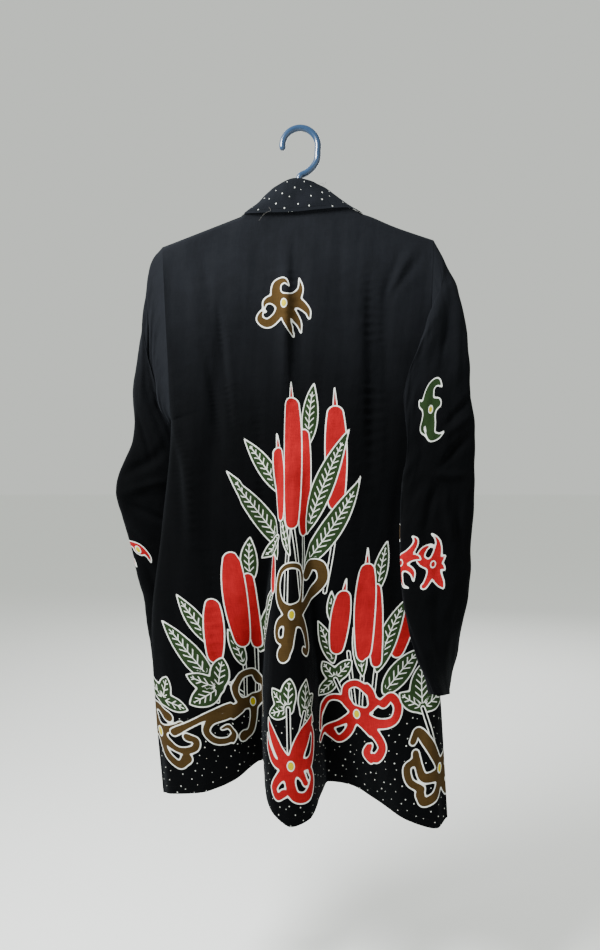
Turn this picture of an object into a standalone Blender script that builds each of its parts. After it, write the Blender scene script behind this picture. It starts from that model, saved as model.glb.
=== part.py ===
# A batik shirt hanging on its tubular plastic hanger, back outwards.
# Metres, +Z up.  The origin is the top of the hook's inside, where a nail or a rail carries it.
# -Y is the side of the shirt's back, +Y the side of its fronts, and +X is the wearer's right.

import math
from collections import namedtuple

import bmesh
import bpy
import numpy as np
from mathutils import Vector

# Walls and gaps
CLOTH = 0.0015
BAND_CLOTH = 0.0022
SEAM_GAP = 0.0010
HALF_SEAM = SEAM_GAP / 2
ARMHOLE_GAP = 0.0014
BAND_GAP = 0.0015

# The hanger: a tube bent to a triangle, and its hook
TUBE_RADIUS = 0.0045
HOOK_CENTRE_X = 0.0034
HOOK_RADIUS = 0.0266
HOOK_OPEN_ANGLE = math.radians(186)
HOOK_STEPS = 13
HOOK_TURN_STEPS = 16
HANGER_HALF_WIDTH = 0.1945
HANGER_BAR_DROP = 0.027
HANGER_BEND = 0.012
HANGER_APEX_BEND = 0.020

# The shoulder line that the hanger's arms give the cloth, a little lower on the left
SHOULDER_APEX_Z = -0.097
SHOULDER_SLOPE = 0.355
SHOULDER_TILT = 0.026
SHOULDER_TIP_X = 0.2025
SHOULDER_ROLL = 0.0068

# The armhole is a slit that opens round the sleeve's head
ARMPIT_DOWN = 0.32
ARMHOLE_DEPTH = 0.014
ARMHOLE_FULLNESS = 0.7
LAP_POWER = 1.5
RUN_STEP = 0.02

# How finely each piece is divided.  Columns of a panel crowd towards its middle and its sides.
CROWDING = 0.6
BACK_COLUMNS = 36
FRONT_COLUMNS = 12
BAND_COLUMNS = 3
SLEEVE_COLUMNS = 20
SLEEVE_ROWS = 15
PANEL_ROWS = 20
PANEL_LENGTH = 0.85
ROLL_ANGLES = (0, 25, 55, 90)
NECK_END = 0.03
HANGER_BEND_STEPS = 5

# The folds at the hem draw the cloth aside lower down than they deepen
FOLD_SPREAD = 1.6

# The neckband leaves the shoulder seams here
NECK_CENTRE_X = 0.006
NECK_HALF_WIDTH = 0.091

# How far the back and the fronts stand off the middle, below the shoulders
BACK_STAND_OFF = 0.014
FRONT_STAND_OFF = 0.013
STAND_OFF_DROP = 0.15
SIDE_ROLL_POWER = 8

BLACK_GROUND = (0.012, 0.013, 0.016, 1.0)
DOTTED_GROUND = (0.016, 0.017, 0.020, 1.0)
HANGER_BLUE = (0.045, 0.115, 0.250, 1.0)

# Body sides, from the shoulder tip (down = 0) past the armpit to the hem (down = 1)
Side = namedtuple("Side", "down left right left_depth right_depth")
SIDES = (
    Side(0.00, -0.2025, 0.2025, 0.000, 0.000),
    Side(0.10, -0.1980, 0.1980, 0.000, 0.000),
    Side(0.32, -0.1910, 0.1900, 0.003, 0.002),
    Side(0.52, -0.2050, 0.1990, 0.003, 0.004),
    Side(0.70, -0.2200, 0.2080, 0.002, 0.004),
    Side(0.85, -0.2130, 0.2150, -0.002, -0.008),
    Side(1.00, -0.2010, 0.2185, -0.006, -0.030),
)

# The back's hem as it hangs, from the left side seam to the right: a roll, a valley, the big
# fold that the sloping shoulders push to the middle, a valley and a roll.  share is the place
# across the flat cloth above, and start is where that stretch leaves the flat.
Hem = namedtuple("Hem", "share x y z start")
BACK_HEM = (
    Hem(0.000, -0.201, -0.006, -0.989, -0.600),
    Hem(0.062, -0.186, -0.026, -0.984, -0.600),
    Hem(0.160, -0.145, -0.032, -0.980, -0.600),
    Hem(0.290, -0.095, -0.014, -0.968, -0.560),
    Hem(0.425, -0.054, 0.018, -0.950, -0.450),
    Hem(0.447, -0.048, -0.028, -0.975, -0.430),
    Hem(0.465, -0.036, -0.054, -0.998, -0.430),
    Hem(0.488, -0.010, -0.064, -1.015, -0.430),
    Hem(0.516, 0.018, -0.052, -1.008, -0.450),
    Hem(0.540, 0.033, -0.020, -0.990, -0.480),
    Hem(0.562, 0.046, 0.012, -0.980, -0.520),
    Hem(0.630, 0.075, 0.008, -0.982, -0.600),
    Hem(0.740, 0.115, -0.016, -0.996, -0.680),
    Hem(0.860, 0.160, -0.046, -1.014, -0.740),
    Hem(0.950, 0.200, -0.052, -1.024, -0.740),
    Hem(1.000, 0.2185, -0.030, -1.015, -0.740),
)

# Height of the hem across the fronts
FrontHem = namedtuple("FrontHem", "x z")
HEM_SHAPED = 0.7
FRONT_HEM = (
    FrontHem(-0.201, -0.989),
    FrontHem(-0.140, -0.977),
    FrontHem(-0.080, -0.956),
    FrontHem(-0.030, -0.954),
    FrontHem(0.020, -0.962),
    FrontHem(0.080, -0.978),
    FrontHem(0.150, -0.994),
    FrontHem(0.2185, -1.015),
)

# Seam between the back and the neckband, from the left shoulder seam to the right
Neck = namedtuple("Neck", "x y z top_x top_y top_z")
NECK = (
    Neck(-0.085, -0.0003, -0.1290, -0.051, 0.0135, -0.1000),
    Neck(-0.079, -0.0075, -0.1275, -0.044, 0.0020, -0.0968),
    Neck(-0.046, -0.0105, -0.1252, -0.029, -0.0080, -0.0860),
    Neck(-0.006, -0.0110, -0.1233, -0.004, -0.0125, -0.0762),
    Neck(0.033, -0.0110, -0.1198, 0.020, -0.0115, -0.0800),
    Neck(0.067, -0.0105, -0.1178, 0.040, -0.0060, -0.0900),
    Neck(0.090, -0.0075, -0.1225, 0.055, 0.0030, -0.0990),
    Neck(0.097, -0.0003, -0.1275, 0.063, 0.0135, -0.1018),
)

# Front edge of the fronts, where the bands are sewn: half distance from the neck's middle,
# and the reach of the band beyond it, from the shoulder seam (down = 0) to the hem (down = 1)
BAND_LIES_DOWN = 0.24
Front = namedtuple("Front", "down edge_x edge_z reach_x reach_y reach_z")
FRONTS = (
    Front(0.000, 0.0910, -0.1282, 0.034, 0.0140, 0.0282),
    Front(0.040, 0.0890, -0.1500, 0.038, 0.0080, 0.0245),
    Front(0.120, 0.0800, -0.2200, 0.0440, 0.0020, 0.0170),
    Front(0.240, 0.0640, -0.3250, 0.0495, 0.0000, 0.0090),
    Front(0.360, 0.0530, -0.4240, 0.0495, 0.0000, 0.0020),
    Front(0.500, 0.0520, -0.5450, 0.0495, 0.0000, 0.0000),
    Front(1.000, 0.0520, -0.9600, 0.0495, 0.0000, 0.0000),
)

# Soft folds.  Each follows a line from (x_top, start) to (x_hem, hem), grows from nothing at
# start to its full depth at full, and has faded again at end.  -depth comes forward of the back.
Fold = namedtuple("Fold", "x_top x_hem start full end width_top width_hem depth")
HEM_Z = -0.985
BEYOND_HEM = -9.0
BACK_FOLDS = (
    Fold(0.002, -0.004, -0.14, -0.28, -0.44, 0.014, 0.016, 0.005),
    Fold(-0.016, -0.016, -0.16, -0.30, -0.46, 0.013, 0.016, -0.006),
    Fold(0.126, 0.108, -0.17, -0.32, -0.62, 0.016, 0.024, 0.008),
    Fold(-0.112, -0.140, -0.22, -0.38, -0.62, 0.012, 0.024, 0.006),
    Fold(-0.158, -0.162, -0.40, -0.50, -0.76, 0.014, 0.024, -0.006),
)
FRONT_FOLDS = (
    Fold(-0.130, -0.135, -0.30, -0.97, BEYOND_HEM, 0.024, 0.042, 0.018),
    Fold(-0.030, -0.030, -0.45, -0.97, BEYOND_HEM, 0.070, 0.110, 0.026),
    Fold(0.098, 0.104, -0.34, -0.97, BEYOND_HEM, 0.030, 0.044, 0.021),
    Fold(0.160, 0.150, -0.20, -0.36, -0.60, 0.018, 0.030, 0.005),
)

# Sleeves, ring by ring from the armhole to the cuff: the ring's outer edge, its inner edge,
# how far it bellies to each side of the line between them, and how far its back side laps
# inward over the body
HEAD_DOWN = 0.14
Ring = namedtuple("Ring", "down outer_x outer_y outer_z inner_x inner_y inner_z belly lap")
LEFT_SLEEVE = (
    Ring(0.06, -0.2160, 0.004, -0.190, -0.198, 0.012, -0.437, 0.015, 0.000),
    Ring(0.14, -0.2270, 0.006, -0.245, -0.201, 0.024, -0.446, 0.018, 0.000),
    Ring(0.24, -0.2380, 0.008, -0.310, -0.193, 0.036, -0.462, 0.020, 0.000),
    Ring(0.36, -0.2480, 0.010, -0.390, -0.178, 0.043, -0.492, 0.019, 0.000),
    Ring(0.48, -0.2520, 0.012, -0.462, -0.164, 0.046, -0.532, 0.017, 0.000),
    Ring(0.60, -0.2770, 0.016, -0.537, -0.158, 0.049, -0.575, 0.015, 0.000),
    Ring(0.68, -0.2680, 0.026, -0.585, -0.154, 0.053, -0.622, 0.015, 0.000),
    Ring(0.79, -0.2480, 0.040, -0.670, -0.146, 0.058, -0.696, 0.015, 0.000),
    Ring(0.90, -0.2360, 0.052, -0.755, -0.132, 0.064, -0.766, 0.016, 0.000),
    Ring(1.00, -0.2270, 0.058, -0.832, -0.122, 0.068, -0.836, 0.018, 0.000),
)
RIGHT_SLEEVE = (
    Ring(0.06, 0.2190, -0.005, -0.196, 0.196, -0.014, -0.437, 0.016, 0.000),
    Ring(0.14, 0.2350, -0.012, -0.240, 0.192, -0.032, -0.444, 0.019, 0.030),
    Ring(0.24, 0.2480, -0.018, -0.295, 0.182, -0.040, -0.458, 0.020, 0.054),
    Ring(0.36, 0.2500, -0.028, -0.375, 0.166, -0.045, -0.480, 0.019, 0.040),
    Ring(0.48, 0.2570, -0.036, -0.445, 0.152, -0.047, -0.518, 0.017, 0.014),
    Ring(0.58, 0.2540, -0.042, -0.520, 0.147, -0.050, -0.562, 0.016, 0.000),
    Ring(0.70, 0.2510, -0.048, -0.606, 0.146, -0.054, -0.628, 0.016, 0.000),
    Ring(0.82, 0.2440, -0.050, -0.690, 0.150, -0.066, -0.700, 0.015, 0.000),
    Ring(0.92, 0.2280, -0.042, -0.765, 0.166, -0.096, -0.758, 0.014, 0.000),
    Ring(1.00, 0.2090, -0.030, -0.832, 0.186, -0.118, -0.812, 0.014, 0.000),
)

# Where the hook turns back under itself into the hanger's neck
HookTurn = namedtuple("HookTurn", "step x z")
HOOK_TURNS = (
    HookTurn(0, 0.0300, -0.0220),
    HookTurn(1, 0.0292, -0.0400),
    HookTurn(2, 0.0232, -0.0530),
    HookTurn(3, 0.0130, -0.0622),
    HookTurn(4, 0.0035, -0.0675),
    HookTurn(5, 0.0000, -0.0780),
)


def smoothstep(value):
    value = min(max(value, 0.0), 1.0)
    return value * value * (3 - 2 * value)


def along(rows, key, column, at):
    """Value of a table's column at a place between its rows, on a smooth curve that stays
    between each row and the next."""
    keys = np.array([getattr(row, key) for row in rows])
    values = np.array([getattr(row, column) for row in rows])
    rises = np.diff(values) / np.diff(keys)
    before, after = rises[:-1], rises[1:]
    same_way = before * after > 0
    inner = np.where(same_way, 2 * before * after / np.where(same_way, before + after, 1), 0.0)
    slopes = np.concatenate([rises[:1], inner, rises[-1:]])
    i = int(np.clip(np.searchsorted(keys, at) - 1, 0, len(keys) - 2))
    span = keys[i + 1] - keys[i]
    t = min(max((at - keys[i]) / span, 0.0), 1.0)
    lift = t * (1 - t) * ((1 - t) * slopes[i] - t * slopes[i + 1])
    return values[i] + (values[i + 1] - values[i]) * smoothstep(t) + lift * span


def shoulder_z(x):
    return SHOULDER_APEX_Z - SHOULDER_SLOPE * abs(x) + SHOULDER_TILT * x


def fold_depth(folds, x, z):
    total = 0.0
    for fold in folds:
        line = (fold.start - z) / (fold.start - HEM_Z)
        grown = smoothstep((fold.start - z) / (fold.start - fold.full))
        kept = smoothstep((z - fold.end) / (fold.full - fold.end)) if fold.end > BEYOND_HEM else 1.0
        centre = fold.x_top + (fold.x_hem - fold.x_top) * line
        width = fold.width_top + (fold.width_hem - fold.width_top) * line
        total += fold.depth * grown * kept * math.exp(-(((x - centre) / width) ** 2))
    return total


def armhole(down):
    """How far the armhole's edge stands from the middle at this place down the side."""
    if down >= ARMPIT_DOWN:
        return 0.0
    cosine = 1 - 2 * down / ARMPIT_DOWN
    return ARMHOLE_DEPTH * (1 - cosine * cosine) ** (ARMHOLE_FULLNESS / 2)


def side_point(side, down, facing):
    """Point of the armhole's edge or the side seam.  side: -1 left, 1 right.  facing: -1 back."""
    column = "left" if side < 0 else "right"
    x = along(SIDES, "down", column, down)
    tip_z = shoulder_z(side * SHOULDER_TIP_X)
    hem_z = BACK_HEM[0].z if side < 0 else BACK_HEM[-1].z
    y = along(SIDES, "down", column + "_depth", down) + facing * (armhole(down) + HALF_SEAM)
    return Vector((x, y, tip_z + (hem_z - tip_z) * down))


def neck_top(x):
    """(y, z) of the back's top edge: the shoulder seams, and the neck seam between them."""
    if NECK[0].x < x < NECK[-1].x:
        return along(NECK, "x", "y", x), along(NECK, "x", "z", x)
    return -HALF_SEAM, shoulder_z(x)


def stand_off(distance, drop):
    """How far a panel stands off the middle, this far below the shoulder."""
    return SHOULDER_ROLL + (distance - SHOULDER_ROLL) * smoothstep(drop / STAND_OFF_DROP)


def front_depth(x, z, top_z):
    return stand_off(FRONT_STAND_OFF, top_z - z) + fold_depth(FRONT_FOLDS, x, z)


def rolled(drop):
    """How far the cloth has rolled over the hanger's arm, this far below the shoulder seam."""
    left = max(1 - drop / SHOULDER_ROLL, 0.0)
    return math.sqrt(1 - left * left)


def side_roll(across):
    return math.sqrt(1 - abs(across) ** SIDE_ROLL_POWER)


def back_point(across, down):
    """Point of the back panel: across from -1, left, to 1, right, and down from 0 to 1."""
    left = side_point(-1, down, -1)
    right = side_point(1, down, -1)
    share = (across + 1) / 2
    hem = Hem(share, *[along(BACK_HEM, "share", column, share) for column in Hem._fields[1:]])
    top_y, top_z = neck_top(SHOULDER_TIP_X * across)
    z = top_z + (hem.z - top_z) * down
    hung = smoothstep((hem.start - z) / (hem.start - hem.z))
    straight_x = left.x + (right.x - left.x) * share
    straight_hem_x = SIDES[-1].left + (SIDES[-1].right - SIDES[-1].left) * share
    x = straight_x + (hem.x - straight_hem_x) * hung ** FOLD_SPREAD
    edge_y = left.y + (right.y - left.y) * share
    depth = -stand_off(BACK_STAND_OFF, top_z - z) * (1 - hung) + hem.y * hung
    depth += fold_depth(BACK_FOLDS, x, z)
    depth = edge_y + (depth - edge_y) * side_roll(across)
    return Vector((x, top_y + (depth - top_y) * rolled(top_z - z), z))


def front_edge(side, down):
    """Point of the front's edge, where its band is sewn."""
    x = NECK_CENTRE_X + side * along(FRONTS, "down", "edge_x", down)
    z = along(FRONTS, "down", "edge_z", down)
    z += (along(FRONT_HEM, "x", "z", x) - FRONTS[-1].edge_z) * down
    top_z = shoulder_z(NECK_CENTRE_X + side * NECK_HALF_WIDTH)
    depth = front_depth(x, z, top_z)
    return Vector((x, HALF_SEAM + (depth - HALF_SEAM) * rolled(max(top_z - z, 0.0)), z))


def front_point(side, across, down):
    """Point of a front panel: across from 0, the side seam, to 1, the edge with the band."""
    outer = side_point(side, down, 1)
    inner = front_edge(side, down)
    x = outer.x + (inner.x - outer.x) * across
    z = outer.z + (inner.z - outer.z) * across
    hem_outer = side_point(side, 1, 1)
    hem_inner = front_edge(side, 1)
    hem_x = hem_outer.x + (hem_inner.x - hem_outer.x) * across
    straight_z = hem_outer.z + (hem_inner.z - hem_outer.z) * across
    to_hem = smoothstep((down - HEM_SHAPED) / (1 - HEM_SHAPED)) ** 2
    z += (along(FRONT_HEM, "x", "z", hem_x) - straight_z) * to_hem
    top_z = shoulder_z(x)
    depth = outer.y + (front_depth(x, z, top_z) - outer.y) * side_roll(1 - across)
    rise = max(top_z - z, 0.0)
    return Vector((x, HALF_SEAM + (depth - HALF_SEAM) * rolled(rise), z))


def band_point(side, across, down):
    """Point of a front band: across from 0, its seam, to 1, its free edge."""
    seam = front_edge(side, down)
    reach = Vector((
        -side * along(FRONTS, "down", "reach_x", down),
        along(FRONTS, "down", "reach_y", down),
        along(FRONTS, "down", "reach_z", down),
    ))
    gap = Vector((-side * BAND_GAP, BAND_GAP * (1 - down), 0))
    point = seam + gap + reach * across
    lie = smoothstep(down / BAND_LIES_DOWN)
    top_z = shoulder_z(NECK_CENTRE_X + side * NECK_HALF_WIDTH)
    point.y += (front_depth(point.x, point.z, top_z) - point.y) * lie
    return point


def neckband_point(across, up):
    """Point of the standing neckband: across from 0, left, to 1, right, and up from 0 to 1."""
    x = NECK[0].x + (NECK[-1].x - NECK[0].x) * across
    seam = Vector((x, along(NECK, "x", "y", x), along(NECK, "x", "z", x) + BAND_GAP))
    top = Vector([along(NECK, "x", column, x) for column in ("top_x", "top_y", "top_z")])
    return seam.lerp(top, up)


def neck_place(across):
    """Place along the neckband, from 0 to 1, of a column of the back."""
    return (SHOULDER_TIP_X * across - NECK[0].x) / (NECK[-1].x - NECK[0].x)


def ring_of(rows, side, down):
    """(outer, inner, belly, lap) of a sleeve at this place down it.  Its first ring is the armhole."""
    tip = side_point(side, 0.0, 0)
    pit = side_point(side, ARMPIT_DOWN, 0)
    gap = Vector((side * ARMHOLE_GAP, 0, 0))
    head = Ring(0.0, *(tip + gap), *(pit + gap), ARMHOLE_DEPTH, 0.0)
    rings = (head,) + rows
    outer = Vector([along(rings, "down", "outer_" + axis, down) for axis in "xyz"])
    inner = Vector([along(rings, "down", "inner_" + axis, down) for axis in "xyz"])
    return outer, inner, along(rings, "down", "belly", down), along(rings, "down", "lap", down)


def armhole_point(side, cosine, facing):
    """Point of the sleeve's first ring, across the gap from the body's armhole."""
    down = (1 - cosine) / 2 * ARMPIT_DOWN
    point = side_point(side, down, 0)
    return point + Vector((side * ARMHOLE_GAP, facing * armhole(down), 0))


def sleeve_point(rows, side, around, down):
    """Point of a sleeve: around from 0 to 1, starting at its outer edge and passing its back."""
    angle = 2 * math.pi * around
    cosine = math.cos(angle)
    sine = math.sin(angle)
    if down == 0:
        return armhole_point(side, cosine, -1 if sine > 0 else 1)
    bulge = math.copysign(abs(sine) ** ARMHOLE_FULLNESS, sine)
    outer, inner, belly, lap = ring_of(rows, side, down)
    next_outer, next_inner, *_ = ring_of(rows, side, min(down + RUN_STEP, 1.0))
    last_outer, last_inner, *_ = ring_of(rows, side, max(down - RUN_STEP, 0.0))
    run = (next_outer + next_inner - last_outer - last_inner).normalized()
    towards_back = run.cross(outer - inner).normalized() * side
    turned = smoothstep(down / HEAD_DOWN)
    towards_back = Vector((0, -1, 0)).lerp(towards_back, turned).normalized()
    point = (outer + inner) / 2 + (outer - inner) / 2 * cosine + towards_back * belly * bulge
    point.x -= side * lap * max(sine, 0.0) ** LAP_POWER
    return point


def uneven(count):
    """Places from -1 to 1, closer together in the middle and towards both ends."""
    turn = 2 * math.pi
    return [t - CROWDING * math.sin(turn * t) / turn for t in np.linspace(-1, 1, count + 1)]


def shirt_rows():
    """Places down a panel: a few that roll over the hanger's arm, and the rest evenly below."""
    roll = [SHOULDER_ROLL * (1 - math.cos(math.radians(angle))) / PANEL_LENGTH for angle in ROLL_ANGLES]
    return roll + list(np.linspace(roll[-1], 1, PANEL_ROWS + 1)[1:])


def material(name, colour, roughness):
    made = bpy.data.materials.new(name)
    made.use_nodes = True
    shader = made.node_tree.nodes["Principled BSDF"]
    shader.inputs["Base Color"].default_value = colour
    shader.inputs["Roughness"].default_value = roughness
    shader.inputs["Metallic"].default_value = 0.0
    return made


def cloth_piece(name, across, down, place, wall, finish, closed=False):
    """A sheet of cloth on the grid of places across and down, given its wall by Solidify."""
    shape = bmesh.new()
    bmesh.ops.create_grid(shape, x_segments=len(across) - 1, y_segments=len(down) - 1, size=0.5)
    for vert in shape.verts:
        column = round((vert.co.x + 0.5) * (len(across) - 1))
        row = round((0.5 - vert.co.y) * (len(down) - 1))
        vert.co = place(across[column], down[row])
    if closed:
        bmesh.ops.remove_doubles(shape, verts=shape.verts, dist=0.00001)
    bmesh.ops.recalc_face_normals(shape, faces=shape.faces)
    mesh = bpy.data.meshes.new(name)
    shape.to_mesh(mesh)
    shape.free()
    mesh.materials.append(finish)
    piece = bpy.data.objects.new(name, mesh)
    wall_modifier = piece.modifiers.new("wall", "SOLIDIFY")
    wall_modifier.thickness = wall
    wall_modifier.offset = 0.0
    mesh.shade_smooth()
    return piece


def tube(name, points, finish, cyclic=False):
    """A round tube along the points."""
    curve = bpy.data.curves.new(name, "CURVE")
    curve.dimensions = "3D"
    curve.bevel_depth = TUBE_RADIUS
    curve.bevel_resolution = 2
    curve.use_fill_caps = not cyclic
    spline = curve.splines.new("POLY")
    spline.points.add(len(points) - 1)
    for spline_point, place in zip(spline.points, points):
        spline_point.co = (*place, 1)
    spline.use_cyclic_u = cyclic
    curve.materials.append(finish)
    return bpy.data.objects.new(name, curve)


def rounded_outline(corners, radii, steps):
    """A closed outline in the X-Z plane whose corners are arcs."""
    points = []
    for i, (corner, radius) in enumerate(zip(corners, radii)):
        before = (corners[i - 1] - corner).normalized()
        after = (corners[(i + 1) % len(corners)] - corner).normalized()
        half = before.angle(after) / 2
        middle = corner + (before + after).normalized() * radius / math.sin(half)
        start = corner + before * radius / math.tan(half) - middle
        end = corner + after * radius / math.tan(half) - middle
        for step in range(steps + 1):
            points.append(middle + start.normalized().slerp(end.normalized(), step / steps) * radius)
    return points


def arm_z(x):
    """Height of the middle of the hanger's arm, under the cloth of the shoulder."""
    below = (TUBE_RADIUS + CLOTH / 2 + SEAM_GAP) / math.cos(math.atan(SHOULDER_SLOPE))
    return shoulder_z(x) - below


def hanger(finish):
    """Arms and bar of the hanger, one tube bent round in a triangle."""
    corners = [
        Vector((0, 0, arm_z(0))),
        Vector((HANGER_HALF_WIDTH, 0, arm_z(HANGER_HALF_WIDTH))),
        Vector((HANGER_HALF_WIDTH, 0, arm_z(HANGER_HALF_WIDTH) - HANGER_BAR_DROP)),
        Vector((-HANGER_HALF_WIDTH, 0, arm_z(-HANGER_HALF_WIDTH) - HANGER_BAR_DROP)),
        Vector((-HANGER_HALF_WIDTH, 0, arm_z(-HANGER_HALF_WIDTH))),
    ]
    radii = [HANGER_APEX_BEND] + [HANGER_BEND] * 4
    return tube("hanger", rounded_outline(corners, radii, HANGER_BEND_STEPS), finish, cyclic=True)


def hook(finish):
    """The hook: most of a turn over the nail, then in under it and down the neck."""
    centre_z = TUBE_RADIUS - HOOK_RADIUS
    points = []
    for angle in np.linspace(HOOK_OPEN_ANGLE, 0, HOOK_STEPS):
        reach = Vector((math.cos(angle), 0, math.sin(angle))) * HOOK_RADIUS
        points.append(Vector((HOOK_CENTRE_X, 0, centre_z)) + reach)
    for step in np.linspace(0, HOOK_TURNS[-1].step, HOOK_TURN_STEPS)[1:]:
        points.append((along(HOOK_TURNS, "step", "x", step), 0, along(HOOK_TURNS, "step", "z", step)))
    points.append((0, 0, arm_z(0) + TUBE_RADIUS + SEAM_GAP))
    return tube("hook", points, finish)


def build():
    for thing in list(bpy.data.objects):
        bpy.data.objects.remove(thing)
    printed = material("printed_cotton", BLACK_GROUND, 0.8)
    dotted = material("dotted_cotton", DOTTED_GROUND, 0.8)
    plastic = material("hanger_plastic", HANGER_BLUE, 0.3)

    panel_rows = shirt_rows()
    back_across = uneven(BACK_COLUMNS)
    neck_places = [place for place in map(neck_place, back_across) if NECK_END < place < 1 - NECK_END]
    neck_across = [0.0] + neck_places + [1.0]
    band_across = list(np.linspace(0, 1, BAND_COLUMNS + 1))
    round_sleeve = list(np.linspace(0, 1, SLEEVE_COLUMNS + 1))
    sleeve_rows = list(np.linspace(0, 1, SLEEVE_ROWS + 1))
    pieces = [cloth_piece("back", back_across, panel_rows, back_point, CLOTH, printed)]
    for side, word, rings in ((-1, "left", LEFT_SLEEVE), (1, "right", RIGHT_SLEEVE)):
        front_across = [place + 1 for place in uneven(2 * FRONT_COLUMNS)[:FRONT_COLUMNS + 1]]
        pieces.append(cloth_piece(
            "front_" + word, front_across, panel_rows,
            lambda across, down, side=side: front_point(side, across, down), CLOTH, printed))
        pieces.append(cloth_piece(
            "band_" + word, band_across, panel_rows[:1] + panel_rows[len(ROLL_ANGLES) - 1:],
            lambda across, down, side=side: band_point(side, across, down), BAND_CLOTH, dotted))
        pieces.append(cloth_piece(
            "sleeve_" + word, round_sleeve, sleeve_rows,
            lambda around, down, side=side, rings=rings: sleeve_point(rings, side, around, down),
            CLOTH, printed, closed=True))
    pieces.append(cloth_piece(
        "neckband", neck_across, band_across, neckband_point, BAND_CLOTH, dotted))
    pieces.append(hanger(plastic))
    pieces.append(hook(plastic))

    collection = bpy.data.collections.new("batik_shirt")
    bpy.context.scene.collection.children.link(collection)
    for piece in pieces:
        collection.objects.link(piece)


build()
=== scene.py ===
# A batik shirt on its plastic hanger, back outwards: cloth, wax-resist print, hanger, light.
# Metres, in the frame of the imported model: -Y is the side of the back, +X the wearer's right.
import math

import bpy
import numpy as np
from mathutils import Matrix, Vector


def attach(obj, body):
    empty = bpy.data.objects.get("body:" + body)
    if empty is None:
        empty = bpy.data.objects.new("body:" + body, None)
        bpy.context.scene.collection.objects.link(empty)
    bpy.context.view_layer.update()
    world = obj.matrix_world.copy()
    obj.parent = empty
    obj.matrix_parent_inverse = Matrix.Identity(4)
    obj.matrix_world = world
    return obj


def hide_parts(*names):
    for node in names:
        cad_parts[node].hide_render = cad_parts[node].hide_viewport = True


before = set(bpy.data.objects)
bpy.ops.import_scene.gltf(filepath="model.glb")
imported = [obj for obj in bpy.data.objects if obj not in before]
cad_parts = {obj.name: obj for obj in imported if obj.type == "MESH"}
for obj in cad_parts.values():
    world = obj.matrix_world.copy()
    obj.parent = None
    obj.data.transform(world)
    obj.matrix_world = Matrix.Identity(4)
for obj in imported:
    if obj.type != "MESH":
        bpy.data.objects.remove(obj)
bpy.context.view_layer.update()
mm = 0.001
print("frame loaded:", len(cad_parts), "nodes")


def table(names, rows):
    # named columns, given in millimetres but for the shares along a piece
    columns = dict(zip(names.split(), np.array(rows, float).T))
    shares = ("down", "share", "step")
    return {name: column if name in shares else column * mm for name, column in columns.items()}


def unit(vectors):
    return vectors / np.maximum(np.linalg.norm(vectors, axis=-1, keepdims=True), 1e-9)


def wordOf(side):
    return "left" if side < 0 else "right"


def smooth(value):
    value = np.clip(value, 0.0, 1.0)
    return value * value * (3 - 2 * value)


def along(rows, key, column, at):
    # a curve through the column that never leaves the span between two neighbouring rows
    keys, values = rows[key], rows[column]
    rises = np.diff(values) / np.diff(keys)
    before, after = rises[:-1], rises[1:]
    sameWay = before * after > 0
    inner = np.where(sameWay, 2 * before * after / np.where(sameWay, before + after, 1), 0.0)
    slopes = np.concatenate([rises[:1], inner, rises[-1:]])
    i = np.clip(np.searchsorted(keys, at) - 1, 0, len(keys) - 2)
    span = keys[i + 1] - keys[i]
    t = np.clip((at - keys[i]) / span, 0.0, 1.0)
    lift = t * (1 - t) * ((1 - t) * slopes[i] - t * slopes[i + 1]) * span
    return values[i] + (values[i + 1] - values[i]) * smooth(t) + lift


def wavesOver(a, b, waves, seed):
    # soft unevenness: a few sine waves of (length, height) in chance directions
    chance = np.random.default_rng(seed)
    total = np.zeros_like(a)
    for length, height in waves:
        for _ in range(4):
            angle, phase = chance.uniform(0, math.pi), chance.uniform(0, 2 * math.pi)
            stretch = length * chance.uniform(0.75, 1.3)
            turn = 2 * math.pi / stretch
            total += height * np.sin(turn * (a * math.cos(angle) + b * math.sin(angle)) + phase)
    return total / 2


# the shirt's form, as the hanger and its own weight give it, in metres and shares of its length
shirt = {
    "shoulderTop": -0.097, "shoulderSlope": 0.355, "shoulderTilt": 0.026, "tipX": 0.2025,
    "roll": 0.0068,  # radius of the cloth's bend over the hanger
    "armpitDown": 0.32, "armholeDepth": 0.014, "armholeFullness": 0.7, "headDown": 0.14,
    "seam": 0.0002, "bandSeam": 0.0006,  # half a seam's gap
    "neckX": 0.006, "neckHalfWidth": 0.091,
    "backOff": 0.014, "frontOff": 0.013, "offDrop": 0.15,  # how far the cloth hangs off the hanger
    "sideRoll": 8, "hemZ": -0.985, "foldSpread": 1.6, "hemShaped": 0.7, "bandLiesDown": 0.24,
    "lapPower": 1.5, "run": 0.02,
    "neckLift": 0.0038, "neckLiftX": 0.105, "neckLiftSpan": 0.028, "liftEnds": 0.05,
    "cornerDrop": {-1: -0.0032, 1: 0.0065}, "cornerEnds": 0.10,  # the bands' top corners
}

sides = table("down left right leftDepth rightDepth", [
    (0.00, -202.5, 202.5, 0, 0),
    (0.10, -198, 198, 0, 0),
    (0.32, -191, 190, 3, 2),
    (0.52, -205, 199, 3, 4),
    (0.70, -220, 208, 2, 4),
    (0.85, -213, 215, -2, -8),
    (1.00, -201, 218.5, -6, -30),
])

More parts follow.
